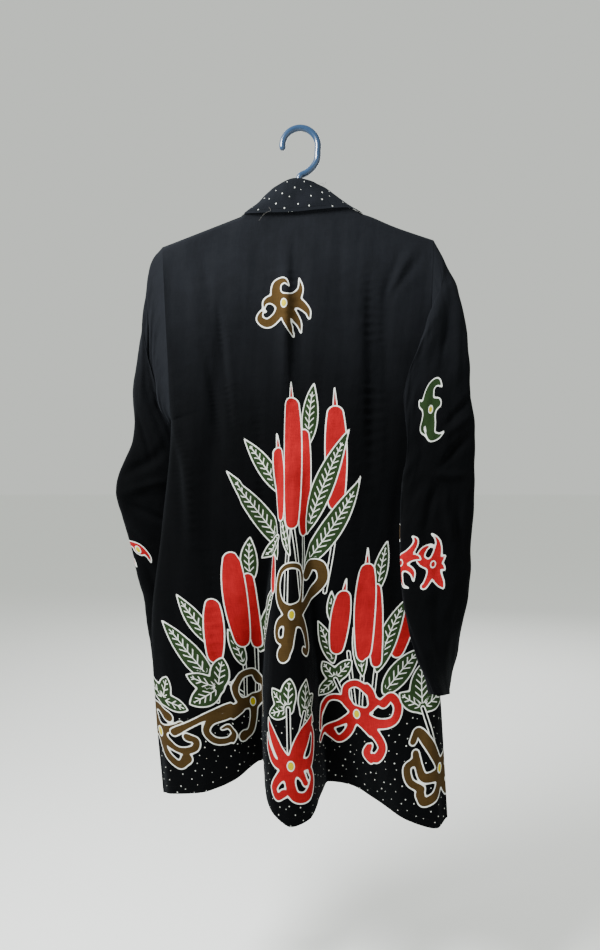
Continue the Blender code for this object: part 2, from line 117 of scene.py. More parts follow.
# the back's hem from the left side seam to the right, with the big middle fold
backHem = table("share x y z start", [
    (0.000, -201, -6, -989, -600),
    (0.062, -186, -26, -984, -600),
    (0.160, -145, -32, -980, -600),
    (0.290, -95, -14, -968, -560),
    (0.425, -54, 18, -950, -450),
    (0.447, -48, -28, -975, -430),
    (0.465, -36, -54, -998, -430),
    (0.488, -10, -64, -1015, -430),
    (0.516, 18, -52, -1008, -450),
    (0.540, 33, -20, -990, -480),
    (0.562, 46, 12, -980, -520),
    (0.630, 75, 8, -982, -600),
    (0.740, 115, -16, -996, -680),
    (0.860, 160, -46, -1014, -740),
    (0.950, 200, -52, -1024, -740),
    (1.000, 218.5, -30, -1015, -740),
])

frontHem = table("x z", [
    (-201, -989), (-140, -977), (-80, -956), (-30, -954),
    (20, -962), (80, -978), (150, -994), (218.5, -1015),
])

# seam between the back and the neckband, and the neckband's top edge
neck = table("x y z topX topY topZ", [
    (-85, -0.3, -129, -51, 13.5, -96.8),
    (-79, -7.5, -127.5, -44, 2, -93.6),
    (-46, -10.5, -125.2, -29, -8, -83.8),
    (-6, -11, -123.3, -4, -12.5, -76.2),
    (33, -11, -119.8, 20, -11.5, -80),
    (67, -10.5, -118.2, 40, -6, -87.8),
    (90, -7.5, -123.5, 55, 3, -96.4),
    (97, -0.3, -125.6, 63, 13.5, -103),
])

# the fronts' edge, and how far the band reaches past it
frontEdge = table("down edgeX edgeZ reachX reachY reachZ", [
    (0.000, 91, -128.2, 34, 14, 28.2),
    (0.040, 89, -150, 38, 8, 24.5),
    (0.120, 80, -220, 44, 2, 17),
    (0.240, 64, -325, 49.5, 0, 9),
    (0.360, 53, -424, 49.5, 0, 2),
    (0.500, 52, -545, 49.5, 0, 0),
    (1.000, 52, -960, 49.5, 0, 0),
])

foldColumns = "xTop xHem start full end widthTop widthHem depth"
backFolds = table(foldColumns, [
    (2, -4, -140, -280, -440, 14, 16, 5),
    (-16, -16, -160, -300, -460, 13, 16, -6),
    (126, 108, -170, -320, -620, 16, 24, 8),
    (-112, -140, -220, -380, -620, 12, 24, 6),
    (-158, -162, -400, -500, -760, 14, 24, -6),
])
frontFolds = table(foldColumns, [
    (-130, -135, -300, -970, -9000, 24, 42, 18),
    (-30, -30, -450, -970, -9000, 70, 110, 26),
    (98, 104, -340, -970, -9000, 30, 44, 21),
    (160, 150, -200, -360, -600, 18, 30, 5),
])

# sleeves, ring by ring: outer edge, inner edge, belly to each side, lap over the body
ringColumns = "down outerX outerY outerZ innerX innerY innerZ belly lap"
sleeveRings = {
    "left": [
        (0.06, -216, 4, -190, -198, 12, -437, 15, 0),
        (0.14, -227, 6, -245, -201, 24, -446, 18, 0),
        (0.24, -238, 8, -310, -193, 36, -462, 20, 0),
        (0.36, -248, 10, -390, -178, 43, -492, 19, 0),
        (0.48, -252, 12, -462, -164, 46, -532, 17, 0),
        (0.60, -277, 16, -537, -158, 49, -575, 15, 0),
        (0.68, -268, 26, -585, -154, 53, -622, 15, 0),
        (0.79, -248, 40, -670, -146, 58, -696, 15, 0),
        (0.90, -236, 52, -755, -132, 64, -766, 16, 0),
        (1.00, -227, 58, -832, -122, 68, -836, 18, 0),
    ],
    "right": [
        (0.06, 219, -5, -196, 196, -14, -437, 16, 0),
        (0.14, 235, -12, -240, 192, -32, -444, 19, 30),
        (0.24, 248, -18, -295, 182, -40, -458, 20, 54),
        (0.36, 250, -28, -375, 166, -45, -480, 19, 40),
        (0.48, 257, -36, -445, 152, -47, -518, 17, 14),
        (0.58, 254, -42, -520, 147, -50, -562, 16, 0),
        (0.70, 251, -48, -606, 146, -54, -628, 16, 0),
        (0.82, 244, -50, -690, 150, -66, -700, 15, 0),
        (0.92, 228, -42, -765, 166, -96, -758, 14, 0),
        (1.00, 209, -30, -832, 186, -118, -812, 14, 0),
    ],
}


def neckLift(x, down=0.0):
    # the neckband's right end holds the shoulder up a little
    lift = shirt["neckLift"] * np.exp(-(((x - shirt["neckLiftX"]) / shirt["neckLiftSpan"]) ** 2))
    return lift * (1 - smooth(down / shirt["liftEnds"]))


def shoulderZ(x):
    slope = shirt["shoulderTilt"] * x - shirt["shoulderSlope"] * np.abs(x)
    return shirt["shoulderTop"] + slope + neckLift(x)


def foldDepth(folds, x, z):
    total = 0.0
    for xTop, xHem, start, full, end, widthTop, widthHem, depth in zip(*folds.values()):
        line = (start - z) / (start - shirt["hemZ"])
        grown = smooth((start - z) / (start - full))
        kept = smooth((z - end) / (full - end))
        centre = xTop + (xHem - xTop) * line
        width = widthTop + (widthHem - widthTop) * line
        total = total + depth * grown * kept * np.exp(-(((x - centre) / width) ** 2))
    return total


def armhole(down):
    cosine = np.clip(1 - 2 * down / shirt["armpitDown"], -1, 1)
    return shirt["armholeDepth"] * (1 - cosine * cosine) ** (shirt["armholeFullness"] / 2)


def sidePoint(side, down, facing):
    word = wordOf(side)
    x = along(sides, "down", word, down)
    tipZ = shoulderZ(side * shirt["tipX"])
    hemZ = backHem["z"][0 if side < 0 else -1]
    y = along(sides, "down", word + "Depth", down) + facing * (armhole(down) + shirt["seam"])
    return x, y, tipZ + (hemZ - tipZ) * down


def standOff(distance, drop):
    return shirt["roll"] + (distance - shirt["roll"]) * smooth(drop / shirt["offDrop"])


def frontDepth(x, z, topZ):
    return standOff(shirt["frontOff"], topZ - z) + foldDepth(frontFolds, x, z)


def rolled(drop):
    left = np.clip(1 - drop / shirt["roll"], 0.0, 1.0)
    return np.sqrt(1 - left * left)


def sideRoll(across):
    return np.sqrt(1 - np.minimum(np.abs(across), 1) ** shirt["sideRoll"])


def backPoint(across, down):
    left, right = sidePoint(-1, down, -1), sidePoint(1, down, -1)
    share = (across + 1) / 2
    hem = {key: along(backHem, "share", key, share) for key in ("x", "y", "z", "start")}
    topX = shirt["tipX"] * across
    inNeck = (topX > neck["x"][0]) & (topX < neck["x"][-1])
    topY = np.where(inNeck, along(neck, "x", "y", topX), -shirt["seam"])
    topZ = np.where(inNeck, along(neck, "x", "z", topX), shoulderZ(topX))
    z = topZ + (hem["z"] - topZ) * down
    hung = smooth((hem["start"] - z) / (hem["start"] - hem["z"]))
    straightHem = sides["left"][-1] + (sides["right"][-1] - sides["left"][-1]) * share
    x = left[0] + (right[0] - left[0]) * share + (hem["x"] - straightHem) * hung ** shirt["foldSpread"]
    edgeY = left[1] + (right[1] - left[1]) * share
    depth = -standOff(shirt["backOff"], topZ - z) * (1 - hung) + hem["y"] * hung
    depth = depth + foldDepth(backFolds, x, z)
    depth = edgeY + (depth - edgeY) * sideRoll(across)
    return np.stack([x, topY + (depth - topY) * rolled(topZ - z), z], axis=-1)


def edgePoint(side, down):
    # the front's edge, where the band is sewn
    x = shirt["neckX"] + side * along(frontEdge, "down", "edgeX", down)
    z = along(frontEdge, "down", "edgeZ", down)
    z = z + (along(frontHem, "x", "z", x) - frontEdge["edgeZ"][-1]) * down + neckLift(x, down)
    topZ = shoulderZ(shirt["neckX"] + side * shirt["neckHalfWidth"])
    y = shirt["seam"] + (frontDepth(x, z, topZ) - shirt["seam"]) * rolled(np.maximum(topZ - z, 0))
    return x, y, z


def frontPoint(side, across, down):
    outer, inner = sidePoint(side, down, 1), edgePoint(side, down)
    x = outer[0] + (inner[0] - outer[0]) * across
    z = outer[2] + (inner[2] - outer[2]) * across
    hemOuter, hemInner = sidePoint(side, 1.0, 1), edgePoint(side, 1.0)
    hemX = hemOuter[0] + (hemInner[0] - hemOuter[0]) * across
    straightZ = hemOuter[2] + (hemInner[2] - hemOuter[2]) * across
    toHem = smooth((down - shirt["hemShaped"]) / (1 - shirt["hemShaped"])) ** 2
    z = z + (along(frontHem, "x", "z", hemX) - straightZ) * toHem
    z = z + neckLift(x, down) - neckLift(inner[0], down) * across
    topZ = shoulderZ(x)
    depth = outer[1] + (frontDepth(x, z, topZ) - outer[1]) * sideRoll(1 - across)
    y = shirt["seam"] + (depth - shirt["seam"]) * rolled(np.maximum(topZ - z, 0))
    return np.stack([x, y, z], axis=-1)


def bandPoint(side, across, down):
    x, y, z = edgePoint(side, down)
    x = x - side * (shirt["bandSeam"] + along(frontEdge, "down", "reachX", down) * across)
    y = y + along(frontEdge, "down", "reachY", down) * across
    drop = shirt["cornerDrop"][side] * (1 - smooth(down / shirt["cornerEnds"]))
    z = z + (along(frontEdge, "down", "reachZ", down) - drop) * across
    topZ = shoulderZ(shirt["neckX"] + side * shirt["neckHalfWidth"])
    y = y + (frontDepth(x, z, topZ) - y) * smooth(down / shirt["bandLiesDown"])
    return np.stack([x, y, z], axis=-1)


def neckbandPoint(across, up):
    x = neck["x"][0] + (neck["x"][-1] - neck["x"][0]) * across
    seamZ = along(neck, "x", "z", x) + shirt["bandSeam"]
    seam = np.stack([x, along(neck, "x", "y", x), seamZ], axis=-1)
    top = np.stack([along(neck, "x", key, x) for key in ("topX", "topY", "topZ")], axis=-1)
    return seam + (top - seam) * np.asarray(up)[..., None]


def sleevePoint(side, around, down):
    # around: 0 at the outer edge, 0.25 on the back's side, 0.5 and -0.5 at the seam under the arm
    tip, pit = sidePoint(side, 0.0, 0), sidePoint(side, shirt["armpitDown"], 0)
    head = (0, *np.array([*tip, *pit, shirt["armholeDepth"], 0]) / mm)
    rings = table(ringColumns, [head] + sleeveRings[wordOf(side)])

    def bothEdges(at):
        return [np.stack([along(rings, "down", part + axis, at) for axis in "XYZ"], axis=-1)
                for part in ("outer", "inner")]

    outer, inner = bothEdges(down)
    ahead = sum(bothEdges(np.minimum(down + shirt["run"], 1)))
    behind = sum(bothEdges(np.maximum(down - shirt["run"], 0)))
    run = unit(ahead - behind)
    toBack = unit(np.cross(run, outer - inner)) * side
    turned = smooth(down / shirt["headDown"])[..., None]
    toBack = unit(np.array([0.0, -1.0, 0.0]) * (1 - turned) + toBack * turned)
    cosine = np.cos(2 * math.pi * around)[..., None]
    sine = np.sin(2 * math.pi * around)
    bulge = (np.sign(sine) * np.abs(sine) ** shirt["armholeFullness"])[..., None]
    belly = along(rings, "down", "belly", down)[..., None]
    point = (outer + inner) / 2 + (outer - inner) / 2 * cosine + toBack * belly * bulge
    lap = along(rings, "down", "lap", down)
    point[..., 0] -= side * lap * np.maximum(sine, 0) ** shirt["lapPower"]
    ringDown = (1 - cosine[..., 0]) / 2 * shirt["armpitDown"]
    x, y, z = sidePoint(side, ringDown, 0)
    head = np.stack([x, y - np.sign(sine) * armhole(ringDown), z], axis=-1)
    return np.where((down <= 0)[..., None], head, point)


def arcs(points, axis):
    # length along the cloth from its first row or column
    steps = np.linalg.norm(np.diff(points, axis=axis), axis=-1)
    start = np.zeros_like(np.take(steps, [0], axis=axis))
    return np.concatenate([start, np.cumsum(steps, axis=axis)], axis=axis)


def outward(points, facing):
    # unit normals of the grid, turned to the side that faces out
    return unit(np.cross(np.gradient(points, axis=0), np.gradient(points, axis=1))) * facing


creaseEnds = {"reach": 3, "open": 0.04, "fullness": 0.8}  # how a crease dies away


def creaseHeight(creases, a, b):
    # each crease is a soft trough (height below 0) or ridge along a bent line through
    # a0, b0 and a2, b2 that leans towards a1, b1, all in millimetres
    total = np.zeros_like(a)
    t = np.linspace(0, 1, 25)
    for a0, b0, a1, b1, a2, b2, width, height in np.array(creases) * mm:
        lineA = (1 - t) ** 2 * a0 + 2 * t * (1 - t) * a1 + t * t * a2
        lineB = (1 - t) ** 2 * b0 + 2 * t * (1 - t) * b1 + t * t * b2
        reach = creaseEnds["reach"] * width
        near = ((a > lineA.min() - reach) & (a < lineA.max() + reach)
                & (b > lineB.min() - reach) & (b < lineB.max() + reach))
        away = np.hypot(a[near][:, None] - lineA, b[near][:, None] - lineB)
        nearest = away.argmin(axis=1)
        onCrease = creaseEnds["open"] + (1 - 2 * creaseEnds["open"]) * t[nearest]
        strength = np.sin(math.pi * np.clip(onCrease, 0, 1)) ** creaseEnds["fullness"]
        total[near] += height * strength * np.exp(-((away.min(axis=1) / width) ** 2))
    return total


# a hem or cuff turned in under itself; its bend is given as drop, depth inwards, length of cloth
hemTurn = {"depth": 0.012, "wall": 0.0011,
           "bend": [(0.0005, 0.0002, 0.0006), (0.0007, 0.00055, 0.0012), (0.0003, 0.0011, 0.0018)]}


def turnHem(grid, out):
    # a rounded edge below the last row, and a strip up the inside
    points, u, v, fields = grid
    below = unit(points[-1] - points[-12])
    rowStep = float(np.mean(np.linalg.norm(points[-1] - points[-2], axis=-1)))
    rows, us, vs = [points], [u], [v]
    for drop, into, length in hemTurn["bend"]:
        rows.append((points[-1] + below * drop - out[-1] * into)[None])
        us.append(u[-1:])
        vs.append(v[-1:] - length)
    for share in (0.5, 1.0):
        above = -1 - max(int(round(share * hemTurn["depth"] / rowStep)), 1)
        rows.append((points[above] - out[above] * 1.2 * hemTurn["wall"])[None])
        us.append(u[-1:])
        vs.append(v[-1:] - share * hemTurn["depth"])
    extra, columns = len(rows) - 1, points.shape[1]
    fields = {name: np.concatenate([values, np.tile(values[-columns:], (extra, 1))])
              for name, values in fields.items()}
    return np.concatenate(rows), np.concatenate(us), np.concatenate(vs), fields


def doubled(points, u, out, wall):
    # a band folded double along its last column: its outer layer, the fold, its inner layer
    edge = unit(points[:, -1] - points[:, -2])
    columns, us = [points + out * wall / 2], [u]
    turn = u[:, -1:] - u[:, -2:-1]
    for angle in (45, 90, 135):
        side = out[:, -1] * math.cos(math.radians(angle)) + edge * math.sin(math.radians(angle))
        columns.append((points[:, -1] + side * wall / 2)[:, None])
        us.append(u[:, -1:] + np.sign(turn) * wall * angle / 90)
    columns.append((points - out * wall / 2)[:, ::-1])
    us.append(2 * u[:, -1:] - u[:, ::-1] + np.sign(turn) * 2 * wall)
    return np.concatenate(columns, axis=1), np.concatenate(us, axis=1)


def addObject(name, data):
    piece = bpy.data.objects.new(name, data)
    bpy.context.scene.collection.objects.link(piece)
    return piece


def meshFromGrid(name, points, u, v, facing, material, fields=None):
    rows, columns = points.shape[:2]
    index = np.arange(rows * columns).reshape(rows, columns)
    corners = [index[:-1, :-1], index[1:, :-1], index[1:, 1:], index[:-1, 1:]]
    if facing < 0:
        corners.reverse()
    quads = np.stack([corner.ravel() for corner in corners], axis=1)
    mesh = bpy.data.meshes.new(name)
    mesh.from_pydata(points.reshape(-1, 3).tolist(), [], quads.tolist())
    size = max(np.ptp(u), np.ptp(v)) * 1.02
    places = np.stack([u - u.min(), v - v.min()], axis=-1).reshape(-1, 2) / size + 0.01
    bakeMap = mesh.uv_layers.new(name="OFBake")
    bakeMap.data.foreach_set("uv", places[quads.ravel()].astype(np.float32).ravel())
    flat = np.stack([u, v, np.zeros_like(u)], axis=-1).reshape(-1, 3)
    for label, values in {"flat": flat, **(fields or {})}.items():
        layer = mesh.attributes.new(label, "FLOAT_VECTOR", "POINT")
        layer.data.foreach_set("vector", values.astype(np.float32).ravel())
    mesh.shade_smooth()
    mesh.materials.append(material)
    return addObject(name, mesh)


# The wax-resist print is drawn in the cloth's own flat places, in millimetres.  Every field is
# a distance, below 0 inside.  What is drawn later covers what was drawn before it.
wax = {"line": 1.75, "thin": 1.45, "heartLine": 1.3, "clear": 5.0, "far": 30000.0}
# a leaf's midrib and side veins; reach, starts and stops are shares of its width and length
veinShape = {
    "pitch": 9.6, "rise": 1.0, "rib": 0.62, "side": 0.68, "slope": 0.72,
    "reach": 0.56, "leastReach": 0.6, "starts": 0.10, "stops": 0.86, "fromEdge": 3.0,
}
inks = ("red", "green", "brown", "yellow")
outlines = ("lineA", "lineB", "lineC", "lineD", "lineE", "lineF")  # motifs that cross use separate ones
printLayers = {
    "inkA": ("red", "green", "brown"), "inkB": ("yellow", "vein"),
    "linesA": outlines[:3], "linesB": outlines[3:], "veinPlace": ("onward", "aside"),
}


def newPrint(points, u, v, fromFront=False):
    look = -1 if fromFront else 1
    seen = points.reshape(-1, 3) / mm
    sheet = {name: np.full(u.size, wax["far"]) for name in inks + outlines + ("vein",)}
    sheet.update(u=u.ravel() / mm, v=v.ravel() / mm, onward=np.zeros(u.size), aside=np.zeros(u.size))
    sheet.update(seenX=seen[:, 0] * look, seenY=-seen[:, 1] * look, seenZ=seen[:, 2])
    return sheet


# points this near in millimetres are weighed, the one furthest out against its distance
outermost = {"beyond": 1.5, "least": 3.5, "weight": 0.5}


def placeOn(sheet, x, z):
    # flat place of the outermost cloth at this x and z of the hung shirt, in millimetres
    away = np.hypot(sheet["seenX"] - x, sheet["seenZ"] - z)
    near = away < max(away.min() + outermost["beyond"], outermost["least"])
    choice = np.flatnonzero(near)[np.argmax(sheet["seenY"][near] - outermost["weight"] * away[near])]
    return np.array([sheet["u"][choice] + x - sheet["seenX"][choice],
                     sheet["v"][choice] + z - sheet["seenZ"][choice]])


def smoothPath(points, count=40):
    # (x, y, half width) on a smooth curve through the given points
    points = np.array(points, float)
    ends = np.concatenate([2 * points[:1] - points[1:2], points, 2 * points[-1:] - points[-2:-1]])
    at = np.linspace(0, len(points) - 1 - 1e-6, count)
    i = at.astype(int)
    t = (at - i)[:, None]
    p0, p1, p2, p3 = ends[i], ends[i + 1], ends[i + 2], ends[i + 3]
    return 0.5 * (2 * p1 + (p2 - p0) * t + (2 * p0 - 5 * p1 + 4 * p2 - p3) * t ** 2
                  + (3 * p1 - p0 - 3 * p2 + p3) * t ** 3)


def around(sheet, paths, margin=14):
    low = np.min([path[:, :2].min(axis=0) - path[:, 2].max() for path in paths], axis=0) - margin
    high = np.max([path[:, :2].max(axis=0) + path[:, 2].max() for path in paths], axis=0) + margin
    u, v = sheet["u"], sheet["v"]
    return np.flatnonzero((u > low[0]) & (u < high[0]) & (v > low[1]) & (v < high[1]))


def strokeDistance(sheet, near, path):
    # distance to the outline of a line of changing width
    place = np.stack([sheet["u"][near], sheet["v"][near]], axis=-1)
    away = np.hypot(place[:, :1] - path[:, 0], place[:, 1:] - path[:, 1]) - path[:, 2]
    nearest = away.argmin(axis=1)
    best = away.min(axis=1)
    for start in (nearest - 1, nearest):
        first = path[np.clip(start, 0, len(path) - 2)]
        run = path[np.clip(start, 0, len(path) - 2) + 1] - first
        length = np.maximum(np.sum(run[:, :2] ** 2, axis=1), 1e-9)
        share = np.sum((place - first[:, :2]) * run[:, :2], axis=1) / length
        spot = first + run * np.clip(share, 0, 1)[:, None]
        best = np.minimum(best, np.hypot(*(place - spot[:, :2]).T) - spot[:, 2])
    return best


def joined(each, softness):
    # one shape of several that melt into each other
    return -softness * np.log(sum(np.exp(-np.clip(one, -60, 60) / softness) for one in each))


def paint(sheet, near, distance, ink, line=None):
    # the new shape hides what it covers and takes the outline layer that is free beside it
    for name in inks:
        sheet[name][near] = np.maximum(sheet[name][near], -distance)
    sheet["vein"][near] = np.maximum(sheet["vein"][near], veinShape["fromEdge"] + 0.2 - distance)
    if ink:
        sheet[ink][near] = np.minimum(sheet[ink][near], distance)
    beside = near[(distance > 0) & (distance < wax["clear"])]
    crossed = [np.count_nonzero(sheet[name][beside] < wax["clear"]) for name in outlines]
    mine = outlines[int(np.argmin(crossed))]
    edge = distance * wax["line"] / (line or wax["line"])
    for name in outlines:
        if name == mine:
            sheet[name][near] = np.where(distance < wax["clear"], edge, np.minimum(sheet[name][near], edge))
        else:
            hidden = near[distance < -1.0]
            sheet[name][hidden] = np.where(sheet[name][hidden] < 0, -wax["far"], wax["far"])


def stroke(sheet, points, ink=None, line=None, count=40):
    path = smoothPath(points, count)
    near = around(sheet, [path])
    paint(sheet, near, strokeDistance(sheet, near, path), ink, line)


def leafPath(base, tip, width, bend):
    base, tip = np.array(base, float), np.array(tip, float)
    side = np.array([base[1] - tip[1], tip[0] - base[0]])
    middle = (base + tip) / 2 + side * bend
    t = np.linspace(0, 1, 48)[:, None]
    line = (1 - t) ** 2 * base + 2 * t * (1 - t) * middle + t * t * tip
    half = width / 2 * np.sin(math.pi * t ** 0.82) ** 0.95  # widest a little nearer the base
    return np.concatenate([line, half], axis=1)


def veins(sheet, near, path, distance):
    # a midrib with slanting side veins, kept clear of the leaf's edge and ends
    away = np.hypot(sheet["u"][near][:, None] - path[:, 0], sheet["v"][near][:, None] - path[:, 1])
    nearest = away.argmin(axis=1)
    steps = np.gradient(path[:, :2], axis=0)
    heading = steps / np.linalg.norm(steps, axis=1, keepdims=True)
    length = np.concatenate([[0], np.cumsum(np.linalg.norm(np.diff(path[:, :2], axis=0), axis=1))])
    du = sheet["u"][near] - path[nearest, 0]
    dv = sheet["v"][near] - path[nearest, 1]
    onward = du * heading[nearest, 0] + dv * heading[nearest, 1]
    aside = -du * heading[nearest, 1] + dv * heading[nearest, 0]
    place = length[nearest] + onward
    whole = length[-1]
    field = np.abs(aside) - np.maximum(veinShape["reach"] * path[nearest, 2], veinShape["leastReach"])
    past = np.maximum(veinShape["starts"] * whole - place, place - veinShape["stops"] * whole)
    field = np.maximum(np.maximum(field, past), distance + veinShape["fromEdge"])
    inside = distance < veinShape["fromEdge"]
    keep = near[inside]
    sheet["onward"][keep] = place[inside]
    sheet["aside"][keep] = aside[inside]
    sheet["vein"][keep] = np.minimum(sheet["vein"][keep], field[inside])


def leaf(sheet, tip, base, width, bend=0.06):
    path = leafPath(base, tip, width, bend)
    near = around(sheet, [path])
    distance = strokeDistance(sheet, near, path)
    paint(sheet, near, distance, "green")
    veins(sheet, near, path, distance)


ivyShape = {"width": 0.56, "bend": 0.04, "body": 8.0, "melt": 1.8}


def ivy(sheet, base, tips):
    # pointed lobes that share one base, with a feathered vein in each
    width, bend = ivyShape["width"], ivyShape["bend"]
    paths = [leafPath(base, tip, width * math.dist(base, tip), bend) for tip in tips]
    near = around(sheet, paths)
    each = [strokeDistance(sheet, near, path) for path in paths]
    middle = np.hypot(sheet["u"][near] - base[0], sheet["v"][near] - base[1]) - ivyShape["body"]
    total = joined(each + [middle], ivyShape["melt"])
    paint(sheet, near, total, "green")
    owner = np.argmin(each, axis=0)
    for i, path in enumerate(paths):
        mine = owner == i
        veins(sheet, near[mine], path, total[mine])


reedShape = {"topRound": 0.78, "bottomRound": 0.70, "least": 0.70, "cap": 0.76, "capTo": 0.02}


def reed(sheet, top, bottom, width, spike=0.0, bend=0.0):
    # a bulrush head: a long rounded body, and the dry spike above it
    top, bottom = np.array(top, float), np.array(bottom, float)
    down = (bottom - top) / np.linalg.norm(bottom - top)
    side = np.array([-down[1], down[0]])
    half = width / 2
    if spike:
        tip, middle, foot = top - down * spike, top - down * spike * 0.5, top + down * half * 0.4
        stroke(sheet, [(*tip, 0.4), (*middle, 1.8), (*foot, 3.6)], "red", wax["thin"], 16)
    middle = (top + bottom) / 2 + side * bend
    t = np.linspace(0, 1, 60)[:, None]
    start, end = top + down * half * reedShape["topRound"], bottom - down * half * reedShape["bottomRound"]
    line = (1 - t) ** 2 * start + 2 * t * (1 - t) * middle + t * t * end
    swell = (1 - reedShape["least"]) * np.sin(math.pi * t ** 0.85) ** 0.7
    radius = half * (reedShape["least"] + swell)
    path = np.concatenate([line, np.where(t < reedShape["capTo"], half * reedShape["cap"], radius)], axis=1)
    near = around(sheet, [path])
    paint(sheet, near, strokeDistance(sheet, near, path), "red")


def stem(sheet, points, width=5.2):
    stroke(sheet, [(x, y, width / 2) for x, y in points], None, wax["thin"], 30)


scrollShape = {
    "middle": ((0, 0, 9.5), (2, 1, 9.5)), "steps": 60, "melt": 1.6,
    "roundFrom": 3, "swell": 0.22, "swellAt": 0.97, "swellSpan": 0.09,  # an arm's round end
    "heart": 5.2, "heartTall": 1.3,
}


def scroll(sheet, place, arms, ink, size=1.0, turn=0.0, flip=False, heart="yellow"):
    # a flower of curling arms round a heart; each arm swells again at its round end
    spin, steps = math.radians(turn), scrollShape["steps"]
    end = (np.linspace(0, 1, steps) - scrollShape["swellAt"]) / scrollShape["swellSpan"]
    paths = []
    for arm in [scrollShape["middle"]] + arms:
        path = smoothPath(arm, steps)
        if arm[-1][2] > scrollShape["roundFrom"]:
            path[:, 2] += scrollShape["swell"] * arm[-1][2] * np.exp(-(end ** 2))
        path[:, 0] *= -1 if flip else 1
        x = path[:, 0] * math.cos(spin) - path[:, 1] * math.sin(spin)
        y = path[:, 0] * math.sin(spin) + path[:, 1] * math.cos(spin)
        paths.append(np.stack([x, y, path[:, 2]], axis=1) * size)
        paths[-1][:, :2] += place
    near = around(sheet, paths)
    each = [strokeDistance(sheet, near, path) for path in paths]
    paint(sheet, near, joined(each, scrollShape["melt"]), ink)
    away = np.hypot(sheet["u"][near] - place[0], (sheet["v"][near] - place[1]) / scrollShape["heartTall"])
    paint(sheet, near, away - scrollShape["heart"] * size, heart, wax["heartLine"])


def printFields(sheet):
    # up to three fields to each stored vector
    fields = {}
    for layer, names in printLayers.items():
        columns = [np.clip(sheet[name], -wax["far"], wax["far"]) for name in names]
        columns += [np.zeros_like(columns[0])] * (3 - len(columns))
        fields[layer] = np.stack(columns, axis=-1)
    return fields


def drawAll(sheet, motifs):
    # each row: what, then its places on the hung cloth in millimetres, then its own sizes
    def at(place):
        if len(place) == 3:
            return np.array(place[:2], float)
        return placeOn(sheet, *place[:2]) + np.array(place[2:] or (0, 0), float)

    for what, *rest in motifs:
        if what == "leaf":
            tip, base, *sizes = rest
            leaf(sheet, at(tip), at(base), *sizes)
        elif what == "reed":
            top, bottom, *sizes = rest
            reed(sheet, at(top), at(bottom), *sizes)
        elif what == "stem":
            stem(sheet, [at(place) for place in rest])
        elif what == "ivy":
            base, tips = rest
            foot = at(base)
            ivy(sheet, foot, [foot + np.array(tip) for tip in tips])
        else:
            place, arms, ink, *sizes = rest
            scroll(sheet, at(place), scrollArms[arms], ink, *sizes)


